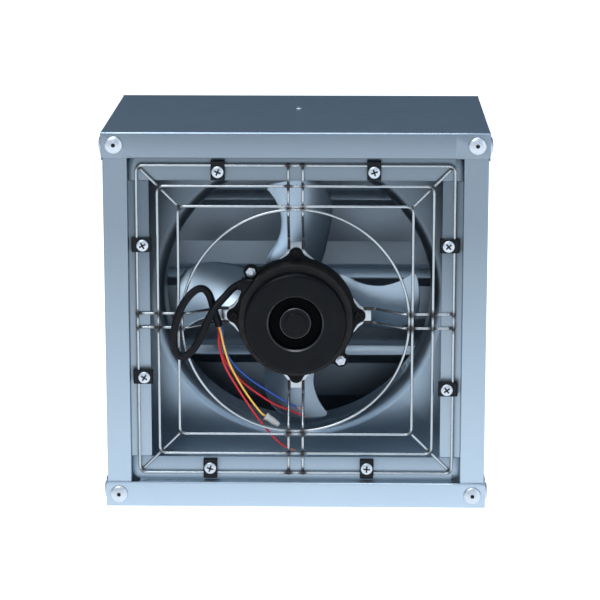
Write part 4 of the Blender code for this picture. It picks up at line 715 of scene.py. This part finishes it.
def guard():
    """Welded wire guard with its flattened, darkened welds."""
    loops = []
    for half in (OUTER, MIDDLE, INNER):
        corners = [polar(half, half, FRONT, k * QUARTER) for k in range(4)]
        loops.append(resampled(filleted(corners, BEND_R * MM, 6, cyclic=True), True))
    ring = [polar(0, CIRCLE, FRONT + 0.4, tau * k / 260) for k in range(260)]
    spokes, diagonals, welds, tips = [], [], [], []
    between = (FRONT + BACK) / 2
    bends = [half * sqrt(2) - BEND_R * (sqrt(2) - 1) for half in (OUTER, MIDDLE, INNER)]
    for angle in (0, QUARTER, 2 * QUARTER, 3 * QUARTER):
        for lateral in (-SPOKE_SIDE, SPOKE_SIDE):
            corners = [polar(lateral, radial, depth, angle) for radial, depth in (
                (OUTER + 2, BACK), (114, BACK), (81, 37), (70.9, 37))]
            spokes.append(resampled(filleted(corners, 0.010, 5)))
            welds += [(polar(lateral, radial, between, angle), RNG.uniform(0.85, 1.3))
                for radial in (OUTER, MIDDLE, INNER - 1.4)]
            tips += [(polar(lateral, radial, 37, angle), 1.25) for radial in (72.5, 77)]
        diagonal = angle + QUARTER / 2
        ends = [polar(0, radial, BACK - 0.3, diagonal) for radial in bends[::2]]
        diagonals.append(resampled(ends))
        welds += [(polar(0, radial, between, diagonal), RNG.uniform(0.7, 1.0)) for radial in bends]
    for name, paths, cyclic, reach, nodes in (
            ("guard_square_wires", loops, True, 0.0058, ["guard_squares"]),
            ("guard_spoke_wires", spokes, False, 0.0062, ["guard_spokes"]),
            ("guard_circle_wire", [ring], True, 0.0058, []),
            ("guard_corner_wires", diagonals, False, 0.0058, [])):
        wires = tube_mesh(name, paths, WIRE_R * MM, WIRE, 14, cyclic)
        burn_at(wires, welds + tips, reach)
        carry(wires, "zinc_wire", *nodes)
    beads = bmesh.new()
    for place, size in welds:
        matrix = Matrix.Translation(place) @ Matrix.Diagonal((1.9 * size, 1.5, 1.9 * size, 1))
        bmesh.ops.create_icosphere(beads, subdivisions=2, radius=0.00115, matrix=matrix)
    for vert in beads.verts:
        vert.co += Vector([RNG.uniform(-1, 1) for _ in range(3)]) * 0.00012
    bead = link("guard_welds", beads, WIRE, 80)
    burn_at(bead, welds, 0.02)
    carry(bead, "zinc_wire")


# Fasteners

def rivet(node, centre, outward, head, height, hole):
    """Domed blind rivet with its rim, its bore and the broken mandrel inside."""
    dome = [(head * cos(QUARTER * i / 10), height * sin(QUARTER * i / 10) + 0.15)
        for i in range(10)]
    profile = [(0, height - 2.0), (hole * 0.9, height - 2.0), (hole, height - 0.55),
        (hole * 1.25, height + 0.12), (hole * 1.5, height + 0.1)]
    profile += [p for p in reversed(dome) if p[0] > hole * 1.45]
    profile += [(head, 0.0), (2.7, 0.0), (2.7, -4.0), (0, -4.0)]
    made = lathe(node + "_fine", profile, 36, ZINC, centre + Vector(outward) * GAP, outward)
    made.data.materials.append(HOLE_SHADE)
    # the bore walls and the mandrel top take the near-black of the painted shade
    for face in made.data.polygons:
        if hypot(*face.center.xy) < hole * 1.02 * MM and face.center.z > 0:
            face.material_index = 1
    carry(made, "zinc_fixing", node)


def rivets():
    """All the rivets that show."""
    size = (9.3, 2.8, 1.75)
    for number, (side, level) in enumerate(((-1, 1), (-1, -1), (1, 1), (1, -1)), 1):
        rivet(f"corner_rivet_{number}", at(side * 186.5, 0, level * 186.5), (0, -1, 0), *size)
        rivet(f"side_rivet_{number}", at(side * 200, 15, level * 185), (side, 0, 0), *size)
    rivet("top_rivet", at(0, 167, 200), (0, 0, 1), 5.0, 1.4, 1.2)


def painted_cross_shade(name, radius, height):
    """Painted shade of a pan head's cross recess, as a thin dark block through its top."""
    bm = bmesh.new()
    for turn in (0, QUARTER):
        bar = Matrix.Diagonal((radius * 1.15 * MM, radius * 0.27 * MM, 0.0009, 1))
        bmesh.ops.create_cube(bm, size=1, matrix=Matrix.Rotation(turn, 4, "Z") @ bar)
    bmesh.ops.translate(bm, verts=bm.verts[:], vec=(0, 0, height * MM))
    return link(name, bm, HOLE_SHADE, 0)


def clips():
    """Black clips, each with its cross-recess pan screw."""
    reach, head = 158.3, 6.2
    places = ((-80, reach, QUARTER), (81, reach, QUARTER), (reach, 81, 0), (reach, -72, 0),
        (-90, -reach, -QUARTER), (75, -reach, -QUARTER), (-reach, 81, pi), (-reach, -60, pi))
    profile = [(149.4, 11.7), (149.4, 4.9), (150.9, 3.4), (168.3, 3.4), (169.8, 4.9), (169.8, 11.7),
        (166.3, 11.7), (166.3, 5.4), (162.7, 5.4), (162.7, 11.7)]
    dome = [(head * cos(QUARTER * i / 8), 1.5 * sin(QUARTER * i / 8) + 1.4) for i in range(9)]
    screw = [(0, 2.75), (1.5, 2.82)] + [p for p in reversed(dome) if p[0] >= 1.5]
    screw += [(head, 0.15), (6.0, 0), (2.0, 0), (2.0, -11.0), (1.4, -12.0), (0, -12.0)]
    for number, (x, z, angle) in enumerate(places, 1):
        node = f"guard_clip_{number}"
        bm = bmesh.new()
        bm.faces.new([bm.verts.new(((r - reach) * MM, -7.25 * MM, -d * MM)) for r, d in profile])
        made = bmesh.ops.extrude_face_region(bm, geom=bm.faces[:])["geom"]
        bmesh.ops.translate(bm, verts=only(BMVert, made), vec=(0, 14.5 * MM, 0))
        outwards(bm)
        block = link(node + "_block", bm, CLIP, 0)
        stand(block, at(x, 0, z), angle)
        carry(softened(block, 0.6, 3), "black_plastic", node)
        place = at(x, 3.4, z)
        carry(lathe(node + "_screw", screw, 32, ZINC, place), "zinc_fixing")
        # painted shade stands in for the screw's cross recess
        cross = painted_cross_shade(node + "_recess", head, 2.62)
        stand(cross, place, RNG.uniform(0, QUARTER))
        carry(cross, "zinc_fixing")


# Motor

EAR_R = 65.6
EAR_HOLE_R = 2.7
FLANGE_R = 63
LUG_R = 66.6
LUG_ANGLES = (radians(135), radians(-45))
SCREW_FACE = 32.7


def motor():
    """Front cap, stator, rear bell, bracket and their screws."""
    cap = [(0, -3.6), (10.2, -3.6), (11, -3.2), (11.2, -2.4), (15.6, -2.4), (16.5, -1.6),
        (16.5, 4.0), (17.4, 5.0), (25.4, 5.0), (26.4, 4.4), (28.0, -3.4), (29.6, -5.0)]
    cap = rounded(cap, 0.7, 4)
    cap += arc((49.0, -0.6), 4.4, -QUARTER, 0, 14)
    cap += [(53.4, 6.2), (53.2, 6.5), (52.1, 6.6), (52.1, 10.2), (50.4, 10.2), (50.4, -2),
        (31, -2), (31, 8), (15.3, 8), (15.3, -1), (0, -1)]
    piece = fan_lathe("motor_front_cap_fine", cap, 128, BLACK, False)
    piece.data.materials.append(RIM)
    piece.data.materials.append(PAINTED_RECESS_SHADE)
    for face in piece.data.polygons:
        radius = hypot(*face.center.xy) / MM
        if (27.0 < radius < 30.0 or 15.0 < radius < 16.8) and 0.25 < face.normal.z < 0.97:
            face.material_index = 1
        # faces of the annular recess take the darker black of the painted shade
        elif 16.3 < radius < 28.3 and face.center.z > -7 * MM:
            face.material_index = 2
    carry(piece, "black_paint", "motor_front_cap")
    stator = [(58.9, 10.5), (59.5, 11.1), (59.5, 32.1), (58.9, 32.7), (48, 32.7), (47, 40.7),
        (36, 40.7), (35, 32.7), (31.6, 32.7), (31.6, 10.5), (35, 10.5), (36, 2.5), (47, 2.5),
        (48, 10.5)]
    carry(fan_lathe("wound_stator_fine", stator, 128, LAMINATION), "lamination", "wound_stator")
    bell()
    bracket()
    screw = [(0, 1.0), (1.9, 1.0), (2.1, 2.5), (3.9, 2.6), (4.6, 2.1), (4.6, 0), (2.3, 0),
        (2.3, -8.3), (0, -8.3)]
    for k in range(4):
        name = f"ear_screw_{k + 1}"
        place = polar(0, EAR_R, SCREW_FACE, k * QUARTER)
        carry(lathe(name + "_fine", screw, 24, BLACK, place), "black_paint", name)
    thread = [(0, 6.2), (2.5, 6.2), (3.0, 5.8)]
    for i in range(6):
        thread += [(3.0, 5.6 - i * 0.75), (2.6, 5.3 - i * 0.75)]
    thread += [(3.0, 0), (3.0, -7.3), (0, -7.3)]
    for number, angle in enumerate(LUG_ANGLES, 1):
        place = polar(0, LUG_R, SCREW_FACE, angle)
        bm = bmesh.new()
        bmesh.ops.create_cone(bm, cap_ends=True, segments=6, radius1=0.0057, radius2=0.0057,
            depth=0.0046)
        bmesh.ops.translate(bm, verts=bm.verts[:], vec=(0, 0, 0.0023))
        nut = link(f"tie_nut_{number}", bm, ZINC, 0)
        stand(nut, place, 0.35 * number)
        carry(softened(nut, 0.5), "zinc_fixing", f"tie_bolt_{number}")
        carry(lathe(f"tie_bolt_{number}_fine", thread, 24, ZINC, place), "zinc_fixing")


def ear_outline():
    """Edge of the motor flange with its ears and lugs, in millimetres."""
    marks = [(k * QUARTER, 15, 9.6, 64.5, EAR_R, 7.6) for k in range(4)]
    marks += [(angle % tau, 13, 8.2, 65.1, LUG_R, 8.2) for angle in LUG_ANGLES]
    marks.sort()
    outline = []
    for mark, following in zip(marks, marks[1:] + marks[:1]):
        angle, root, shoulder, shoulder_reach, reach, radius = mark
        root_angle = asin(root / FLANGE_R)
        head = [(shoulder_reach, -shoulder)]
        head += arc((reach, 0), radius, -QUARTER * 0.86, QUARTER * 0.86, 12)
        head += [(shoulder_reach, shoulder)]
        outline.append(turn_point((FLANGE_R, 0), angle - root_angle))
        outline += [turn_point(p, angle) for p in head]
        start = angle + root_angle
        end = following[0] - asin(following[1] / FLANGE_R)
        end += tau if end < start else 0
        outline += arc((0, 0), FLANGE_R, start, end, 10)[:-1]
    return outline


def holes(bore, steps):
    """Outlines of a bore and of the holes for the ear screws."""
    made = [circle_points((0, 0), bore, 96)]
    for k in range(4):
        centre = turn_point((EAR_R, 0), k * QUARTER)
        made.append(circle_points(centre, EAR_HOLE_R, steps))
    return made


def bell():
    """Rear end shield with its flange, ears, lugs and cable hood."""
    flange = plate("bell_flange", [ear_outline(), *holes(51.5, 20)], 33.0, 35.7, BLACK, 0.35)
    carry(flange, "black_paint", "motor_rear_bell")
    shell = [(53, 33.2)] + arc((47, 60), 6, 0, QUARTER, 10) + [(18, 66), (17.3, 66.5), (17.3, 70),
        (7, 70), (7, 67.6), (15.3, 67.6), (15.3, 58), (50, 58), (50, 33.2)]
    carry(fan_lathe("bell_shell", shell, 96, BLACK), "black_paint")
    bm = bmesh.new()
    bmesh.ops.create_cube(bm, size=1, matrix=Matrix.Diagonal((0.012, 0.0195, 0.0136, 1)))
    hood = link("cable_hood", bm, BLACK, 0)
    hood.location = spot(-51, 24.9, 234.6)
    cut = [(0, 0), (59.8, 0), (59.8, 33.1), (0, 33.1)]
    cutter = fan_lathe("hood_cutter", cut, 128, BLACK, False)
    step = hood.modifiers.new("Cut", "BOOLEAN")
    step.operation = "DIFFERENCE"
    step.object = cutter
    carry(softened(hood, 1.2, 3), "black_paint")
    bpy.data.objects.remove(cutter)
    profile = [(4.15, 0), (6.2, 0), (6.2, 0.6), (5.4, 1.1), (5.1, 3.4), (4.7, 4.0), (4.15, 4.0)]
    collar = lathe("cable_grommet", profile, 32, SHEATH, spot(-57, 24, 234.6), (-1, 0, 0), True)
    carry(collar, "black_plastic")


def bracket():
    """Pressed ring with four tabs that the spoke wires are welded to."""
    half = [(66, 12.2), (68.6, 10.2), (70.4, 8.8), (70.9, 7.4), (71.6, 5.8)]
    tab = [(r, -side) for r, side in half] + [(79, -5.7), (79, 5.7)] + half[::-1]
    inner = 62.5
    root_angle = asin(20 / inner)
    outline = []
    for k in range(4):
        outline += [turn_point(p, k * QUARTER) for p in tab]
        outline += arc((0, 0), inner, k * QUARTER + root_angle, (k + 1) * QUARTER - root_angle, 12)
    ring = plate("motor_bracket_fine", [outline, *holes(54, 16)], 36.0, 38.0, WIRE, 0.25)
    carry(ring, "zinc_wire", "motor_bracket")
    burn_at(ring, [], 1)


# Impeller

TIP, ROOT = 132.0, 38.0
CORNER = 7.0
CAMBER = 4.0
ROOT_PITCH, TIP_PITCH = tan(radians(38)), tan(radians(21))
BLADES = at(0, 113, 0)
LEAD_R = (38, 55.4, 70, 88.4, 108.2, 126, 132)
LEAD_A = tuple(radians(a) for a in (44, 37, 18.5, 11.4, 11.4, 14.2, 15.0))
TRAIL_R = (38, 55.4, 70, 97.7, 110.1, 121.2, 128, 132)
TRAIL_A = tuple(radians(a) for a in (-36, -31, -27, -21.9, -18.9, -15.1, -11.8, -8.5))


def follow(values, marks, place):
    """Smooth curve through values at the marks, read at one place."""
    last = len(marks) - 1
    i = min(last - 1, sum(1 for m in marks[1:] if m <= place))
    span = marks[i + 1] - marks[i]
    t = max(0.0, min(1.0, (place - marks[i]) / span))

    def slope(j):
        a, b = max(j - 1, 0), min(j + 1, last)
        return (values[b] - values[a]) / (marks[b] - marks[a])

    rise = (2 * t ** 3 - 3 * t ** 2 + 1) * values[i] + (3 * t ** 2 - 2 * t ** 3) * values[i + 1]
    return (rise + (t ** 3 - 2 * t ** 2 + t) * span * slope(i)
        + (t ** 3 - t ** 2) * span * slope(i + 1))


def edges_at(radius):
    """Angles of the leading and the trailing edge at a radius."""
    return follow(LEAD_A, LEAD_R, radius), follow(TRAIL_A, TRAIL_R, radius)


def blade_point(radius, angle, share):
    """Point of the blade's middle surface, in metres about the blade plane."""
    span = max(0.0, (radius - ROOT) / (TIP - ROOT))
    pitch = ROOT_PITCH * (1 - span) + TIP_PITCH * span
    across = radius * sin(angle)
    camber = CAMBER * (1 - (2 * share - 1) ** 2)
    return Vector((radius * cos(angle), -across * pitch - camber, across)) * MM


def blade_rivets(k):
    """Domed heads of the rivets that hold a blade to its arm."""
    turn = Matrix.Rotation(-tau * k / 4, 3, "Y")
    dome = [(3.2 * cos(QUARTER * i / 6), 1.3 * sin(QUARTER * i / 6)) for i in range(6)]
    profile = [(0, 1.3), *reversed(dome), (3.2, -0.6), (0, -0.6)]
    for number, radius in enumerate((44, 54), 1):
        lead, trail = edges_at(radius)
        share = lead / (lead - trail)
        point = blade_point(radius, 0.0, share)
        along = blade_point(radius + 1, 0.0, share) - point
        across = blade_point(radius, -0.02, share + 0.02 / (lead - trail)) - point
        outward = along.cross(across).normalized()
        if outward.y > 0:
            outward.negate()
        place = BLADES + turn @ (point + outward * 0.00075)
        head = lathe(f"blade_rivet_{k + 1}_{number}", profile, 20, STEEL, place, turn @ outward)
        carry(head, "bright_steel", body="impeller")


def impeller():
    """Four pressed blades with rounded tips, riveted to the hub's arms."""
    for k in range(4):
        bm = bmesh.new()
        bmesh.ops.create_grid(bm, x_segments=64, y_segments=28, size=1)
        for vert in bm.verts:
            u, v = (vert.co.x + 1) / 2, (vert.co.y + 1) / 2
            radius = ROOT + (TIP - ROOT) * u
            lead, trail = edges_at(radius)
            edge = radius * (lead - trail) * min(v, 1 - v)
            if TIP - radius < CORNER and edge < CORNER:
                inward = CORNER - sqrt(max(0, CORNER ** 2 - (CORNER - edge) ** 2))
                radius = min(radius, TIP - inward * 0.9)
            vert.co = blade_point(radius, lead + (trail - lead) * v, v)
        outwards(bm)
        name = f"impeller_blade_{k + 1}"
        blade = link(name + "_fine", bm, BLADE, 0)
        blade.location = BLADES
        blade.rotation_euler = (0, -tau * k / 4, 0)
        thick(blade, 0.0015, 0)
        carry(softened(blade, 0.4, angle=60, smooth=40), "blade_sheet", name, body="impeller")
        blade_rivets(k)


# Shutter

def louvres():
    """Four louvres with their rolled hems, on their rods."""
    pitch, drop, half = 90.375, 87.375, 182.8
    outline = [(-3.0, 10.3), (-7.0, 0.0), (0.0, -10.7), (-1.0, -49.0), (5.0, 8 - drop),
        (5.0, -drop)]
    for k in range(4):
        bm = bmesh.new()
        verts = [bm.verts.new(spot(-half, 255 + y, 375.0 - pitch * k + z))
            for y, z in rounded(outline, 2.2, 6)]
        edges = [bm.edges.new(pair) for pair in zip(verts, verts[1:])]
        for _ in range(12):
            made = bmesh.ops.extrude_edge_only(bm, edges=edges)["geom"]
            edges = [e for e in only(BMEdge, made)
                if e.is_boundary and near(e.verts[0].co.x, e.verts[1].co.x)]
            bmesh.ops.translate(bm, verts=only(BMVert, made), vec=(half / 6 * MM, 0, 0))
        face_outwards(bm, lambda p: True, Vector((0, -1, 0)))
        body = f"louvre_{k + 1}"
        sheet_piece(f"louvre_blade_{k + 1}", bm, SHUTTER, 0.0008, "shutter_sheet", body)
        name = f"louvre_rod_{k + 1}"
        low, high = (Vector(corner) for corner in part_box(name))
        middle = (low + high) / 2
        ends = [Vector((side * (high.x - low.x) / 2, middle.y, middle.z)) for side in (-1, 1)]
        rod = tube_mesh(name + "_fine", [ends], 0.002, STEEL, 20)
        carry(rod, "zinc_wire", name, body=body)


# Cable and leads

CABLE_MM = (
    (-57.3, 24.0, 234.6), (-61.0, 24.0, 234.6), (-66.7, 20.6, 231.4), (-73.7, 14.6, 224.8),
    (-84.0, 9.0, 213.6), (-92.2, 5.0, 199.5), (-99.4, 0.5, 183.3), (-106.6, -2.6, 171.6),
    (-115.8, -4.2, 164.4), (-123.4, -4.6, 168.0), (-126.4, -4.4, 179.0), (-125.6, -4.0, 192.7),
    (-122.4, -3.6, 206.5), (-116.6, -2.5, 219.6), (-109.3, -0.5, 229.4), (-102.2, 3.0, 234.6),
    (-96.2, 7.5, 234.4), (-91.3, 12.5, 229.0), (-88.4, 16.5, 220.6), (-86.1, 19.5, 210.3),
    (-83.1, 21.5, 200.2), (-80.6, 22.5, 191.2),
)
# Leads: colour, spread of the bare strands (none in the crimp cap), route in millimetres
LEADS = {
    "lead_blue": ("blue", 0.6, (
        (-78.8, 22.5, 191.3), (-77.2, 23.2, 185.6), (-75.8, 25.2, 170.0), (-67.0, 27.3, 150.4),
        (-48.6, 29.0, 132.0), (-27.5, 30.5, 117.5), (-11.7, 31.0, 107.6), (1.0, 31.5, 101.0))),
    "lead_red_long": ("red", 0.6, (
        (-80.5, 24.3, 191.0), (-78.9, 25.0, 185.3), (-79.4, 27.6, 166.0), (-71.8, 29.5, 147.1),
        (-56.1, 31.8, 127.6), (-36.1, 33.4, 111.8), (-21.3, 34.0, 102.5), (-3.3, 34.5, 95.4),
        (5.2, 34.5, 91.6))),
    "lead_red_short": ("red", 0.1, (
        (-82.2, 22.5, 190.3), (-80.6, 23.2, 184.6), (-80.9, 22.0, 170.7), (-74.9, 20.6, 149.3),
        (-63.2, 19.4, 127.9), (-49.5, 18.6, 106.4), (-36.7, 18.0, 88.1), (-22.5, 17.0, 71.2),
        (-12.4, 16.6, 62.6), (-5.0, 16.5, 59.4))),
    "lead_yellow": ("yellow", None, (
        (-80.4, 20.7, 190.6), (-78.8, 21.3, 184.9), (-76.0, 21.4, 171.4), (-69.8, 22.6, 150.2),
        (-59.0, 23.7, 128.6), (-46.8, 24.2, 109.4), (-36.4, 24.2, 96.0), (-32.6, 24.2, 93.4))),
}
CRIMP_START = spot(-32.3, 24.2, 93.2)
CRIMP_END = spot(-17.6, 24.2, 83.2)
CORD_STEP = 0.002
STRIPPED = 0.0065


def route(points):
    """Points a step apart along a smooth curve through a route in millimetres."""
    knots = [spot(*point) for point in points]
    path = [knots[0]]
    last = len(knots) - 1
    for i in range(last):
        before, start, end, after = (knots[max(0, min(last, j))] for j in range(i - 1, i + 3))
        pieces = max(2 if i in (0, last - 1) else 1, round((end - start).length / CORD_STEP))
        for j in range(1, pieces + 1):
            t = j / pieces
            path.append(0.5 * ((2 * start) + (end - before) * t
                + (2 * before - 5 * start + 4 * end - after) * t ** 2
                + (3 * start - before - 3 * end + after) * t ** 3))
    return path


def cord_piece(name, points, radius, finish, slot, sides):
    """Cable as a fine tube; its path is given back."""
    path = route(points)
    piece = tube_mesh(name + "_fine", [path], radius, finish, sides)
    carry(piece, slot, name)
    return path


def strands(name, start, ahead, spread):
    """Bare copper strands that fan out of a stripped end."""
    side = ahead.orthogonal().normalized()
    up = ahead.cross(side)
    paths = []
    for k in range(7):
        path = []
        for j in range(9):
            t = j / 8
            turn = tau * k / 6 + 1.2 * t
            reach = 0.00042 * (1 + spread * t * t) if k else 0.0
            path.append(start + ahead * STRIPPED * t * (1 - 0.06 * (k % 3))
                + (side * cos(turn) + up * sin(turn)) * reach)
        paths.append(path)
    return tube_mesh(name, paths, 0.00019, COPPER, 6)


def cable():
    """Black sheath, four leads, their bare ends and the crimp cap."""
    cord_piece("cable_sheath", CABLE_MM, 0.004, SHEATH, "black_plastic", 24)
    for name, (word, spread, points) in LEADS.items():
        path = cord_piece(name, points, 0.0011, INSULATION[word], word + "_insulation", 12)
        if spread:
            ahead = (path[-1] - path[-2]).normalized()
            bare = strands(name + "_strands", path[-1] - ahead * 0.001, ahead, spread)
            carry(bare, "bright_steel")
    along = CRIMP_END - CRIMP_START
    length = along.length / MM
    profile = [(1.3, 0.4), (2.8, 0.0), (4.0, 0.0), (4.2, 0.35), (4.2, 2.2), (3.7, 3.0),
        (3.55, length * 0.62), (3.1, length * 0.72), (2.7, length - 1.6),
        (2.0, length - 0.4), (0.9, length), (0, length)]
    profile = [(0, 0.4)] + rounded(profile, 0.5)
    cap = lathe("crimp_cap_fine", profile, 32, CRIMP, CRIMP_START, along)
    carry(cap, "crimp_plastic", "crimp_cap")


# Studio

def studio():
    """Pale floor, soft lights and a room that is dark behind the fan."""
    bm = bmesh.new()
    bmesh.ops.create_grid(bm, x_segments=1, y_segments=1, size=50)
    pale = Nodes("floor").finish(colour=(0.93, 0.94, 0.95), rough=0.9, glow=0.80)
    floor = link("floor", bm, pale, 0)
    floor.location = (0, 0, -0.0002)
    world = bpy.data.worlds.new("studio")
    bpy.context.scene.world = world
    world.use_nodes = True
    tree = world.node_tree
    tree.nodes.clear()
    out, back, coords, split, ramp, scale = (tree.nodes.new("ShaderNode" + kind) for kind in (
        "OutputWorld", "Background", "TexCoord", "SeparateXYZ", "ValToRGB", "MapRange"))
    for element, position, colour in zip(ramp.color_ramp.elements, (0.15, 0.85), (
            (0.62, 0.72, 0.85, 1), (0.052, 0.093, 0.142, 1))):
        element.position = position
        element.color = colour
    scale.inputs["From Min"].default_value = -1
    back.inputs[1].default_value = 0.9
    for source, target in ((coords.outputs["Generated"], split), (split.outputs["Y"], scale),
            (scale.outputs[0], ramp), (ramp.outputs[0], back), (back.outputs[0], out)):
        tree.links.new(source, target.inputs[0])
    for name, place, size, power, colour in (
            ("key", (-0.9, -1.9, 2.3), 1.4, 46, (1.0, 0.99, 0.97)),
            ("fill", (1.9, -1.9, 1.0), 1.6, 16, (0.86, 0.93, 1.0)),
            ("overhead", (0, -0.3, 2.6), 1.2, 20, (0.9, 0.95, 1.0))):
        light = bpy.data.lights.new(name, "AREA")
        light.energy = power
        light.color = colour
        light.size = size
        looking(name, light, place, (0, 0, AXIS.z))
    view = bpy.context.scene.view_settings
    view.view_transform = "Standard"
    view.look = "None"


level_panel("top_panel", 1)
level_panel("bottom_panel", -1)
side_panel("left_panel", -1)
side_panel("right_panel", 1)
orifice()
guard()
rivets()
clips()
motor()
impeller()
louvres()
cable()
# The shutter channels take the casing sheet with its painted shade
for node, finish in {"shutter_channel_left": CASING, "shutter_channel_right": CASING,
        "front_bearing": STEEL, "rear_bearing": STEEL, "rotor": LAMINATION,
        "motor_shaft": STEEL, "impeller_hub": HUB}.items():
    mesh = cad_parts[node].data
    for i in range(len(mesh.materials)):
        mesh.materials[i] = finish
studio()
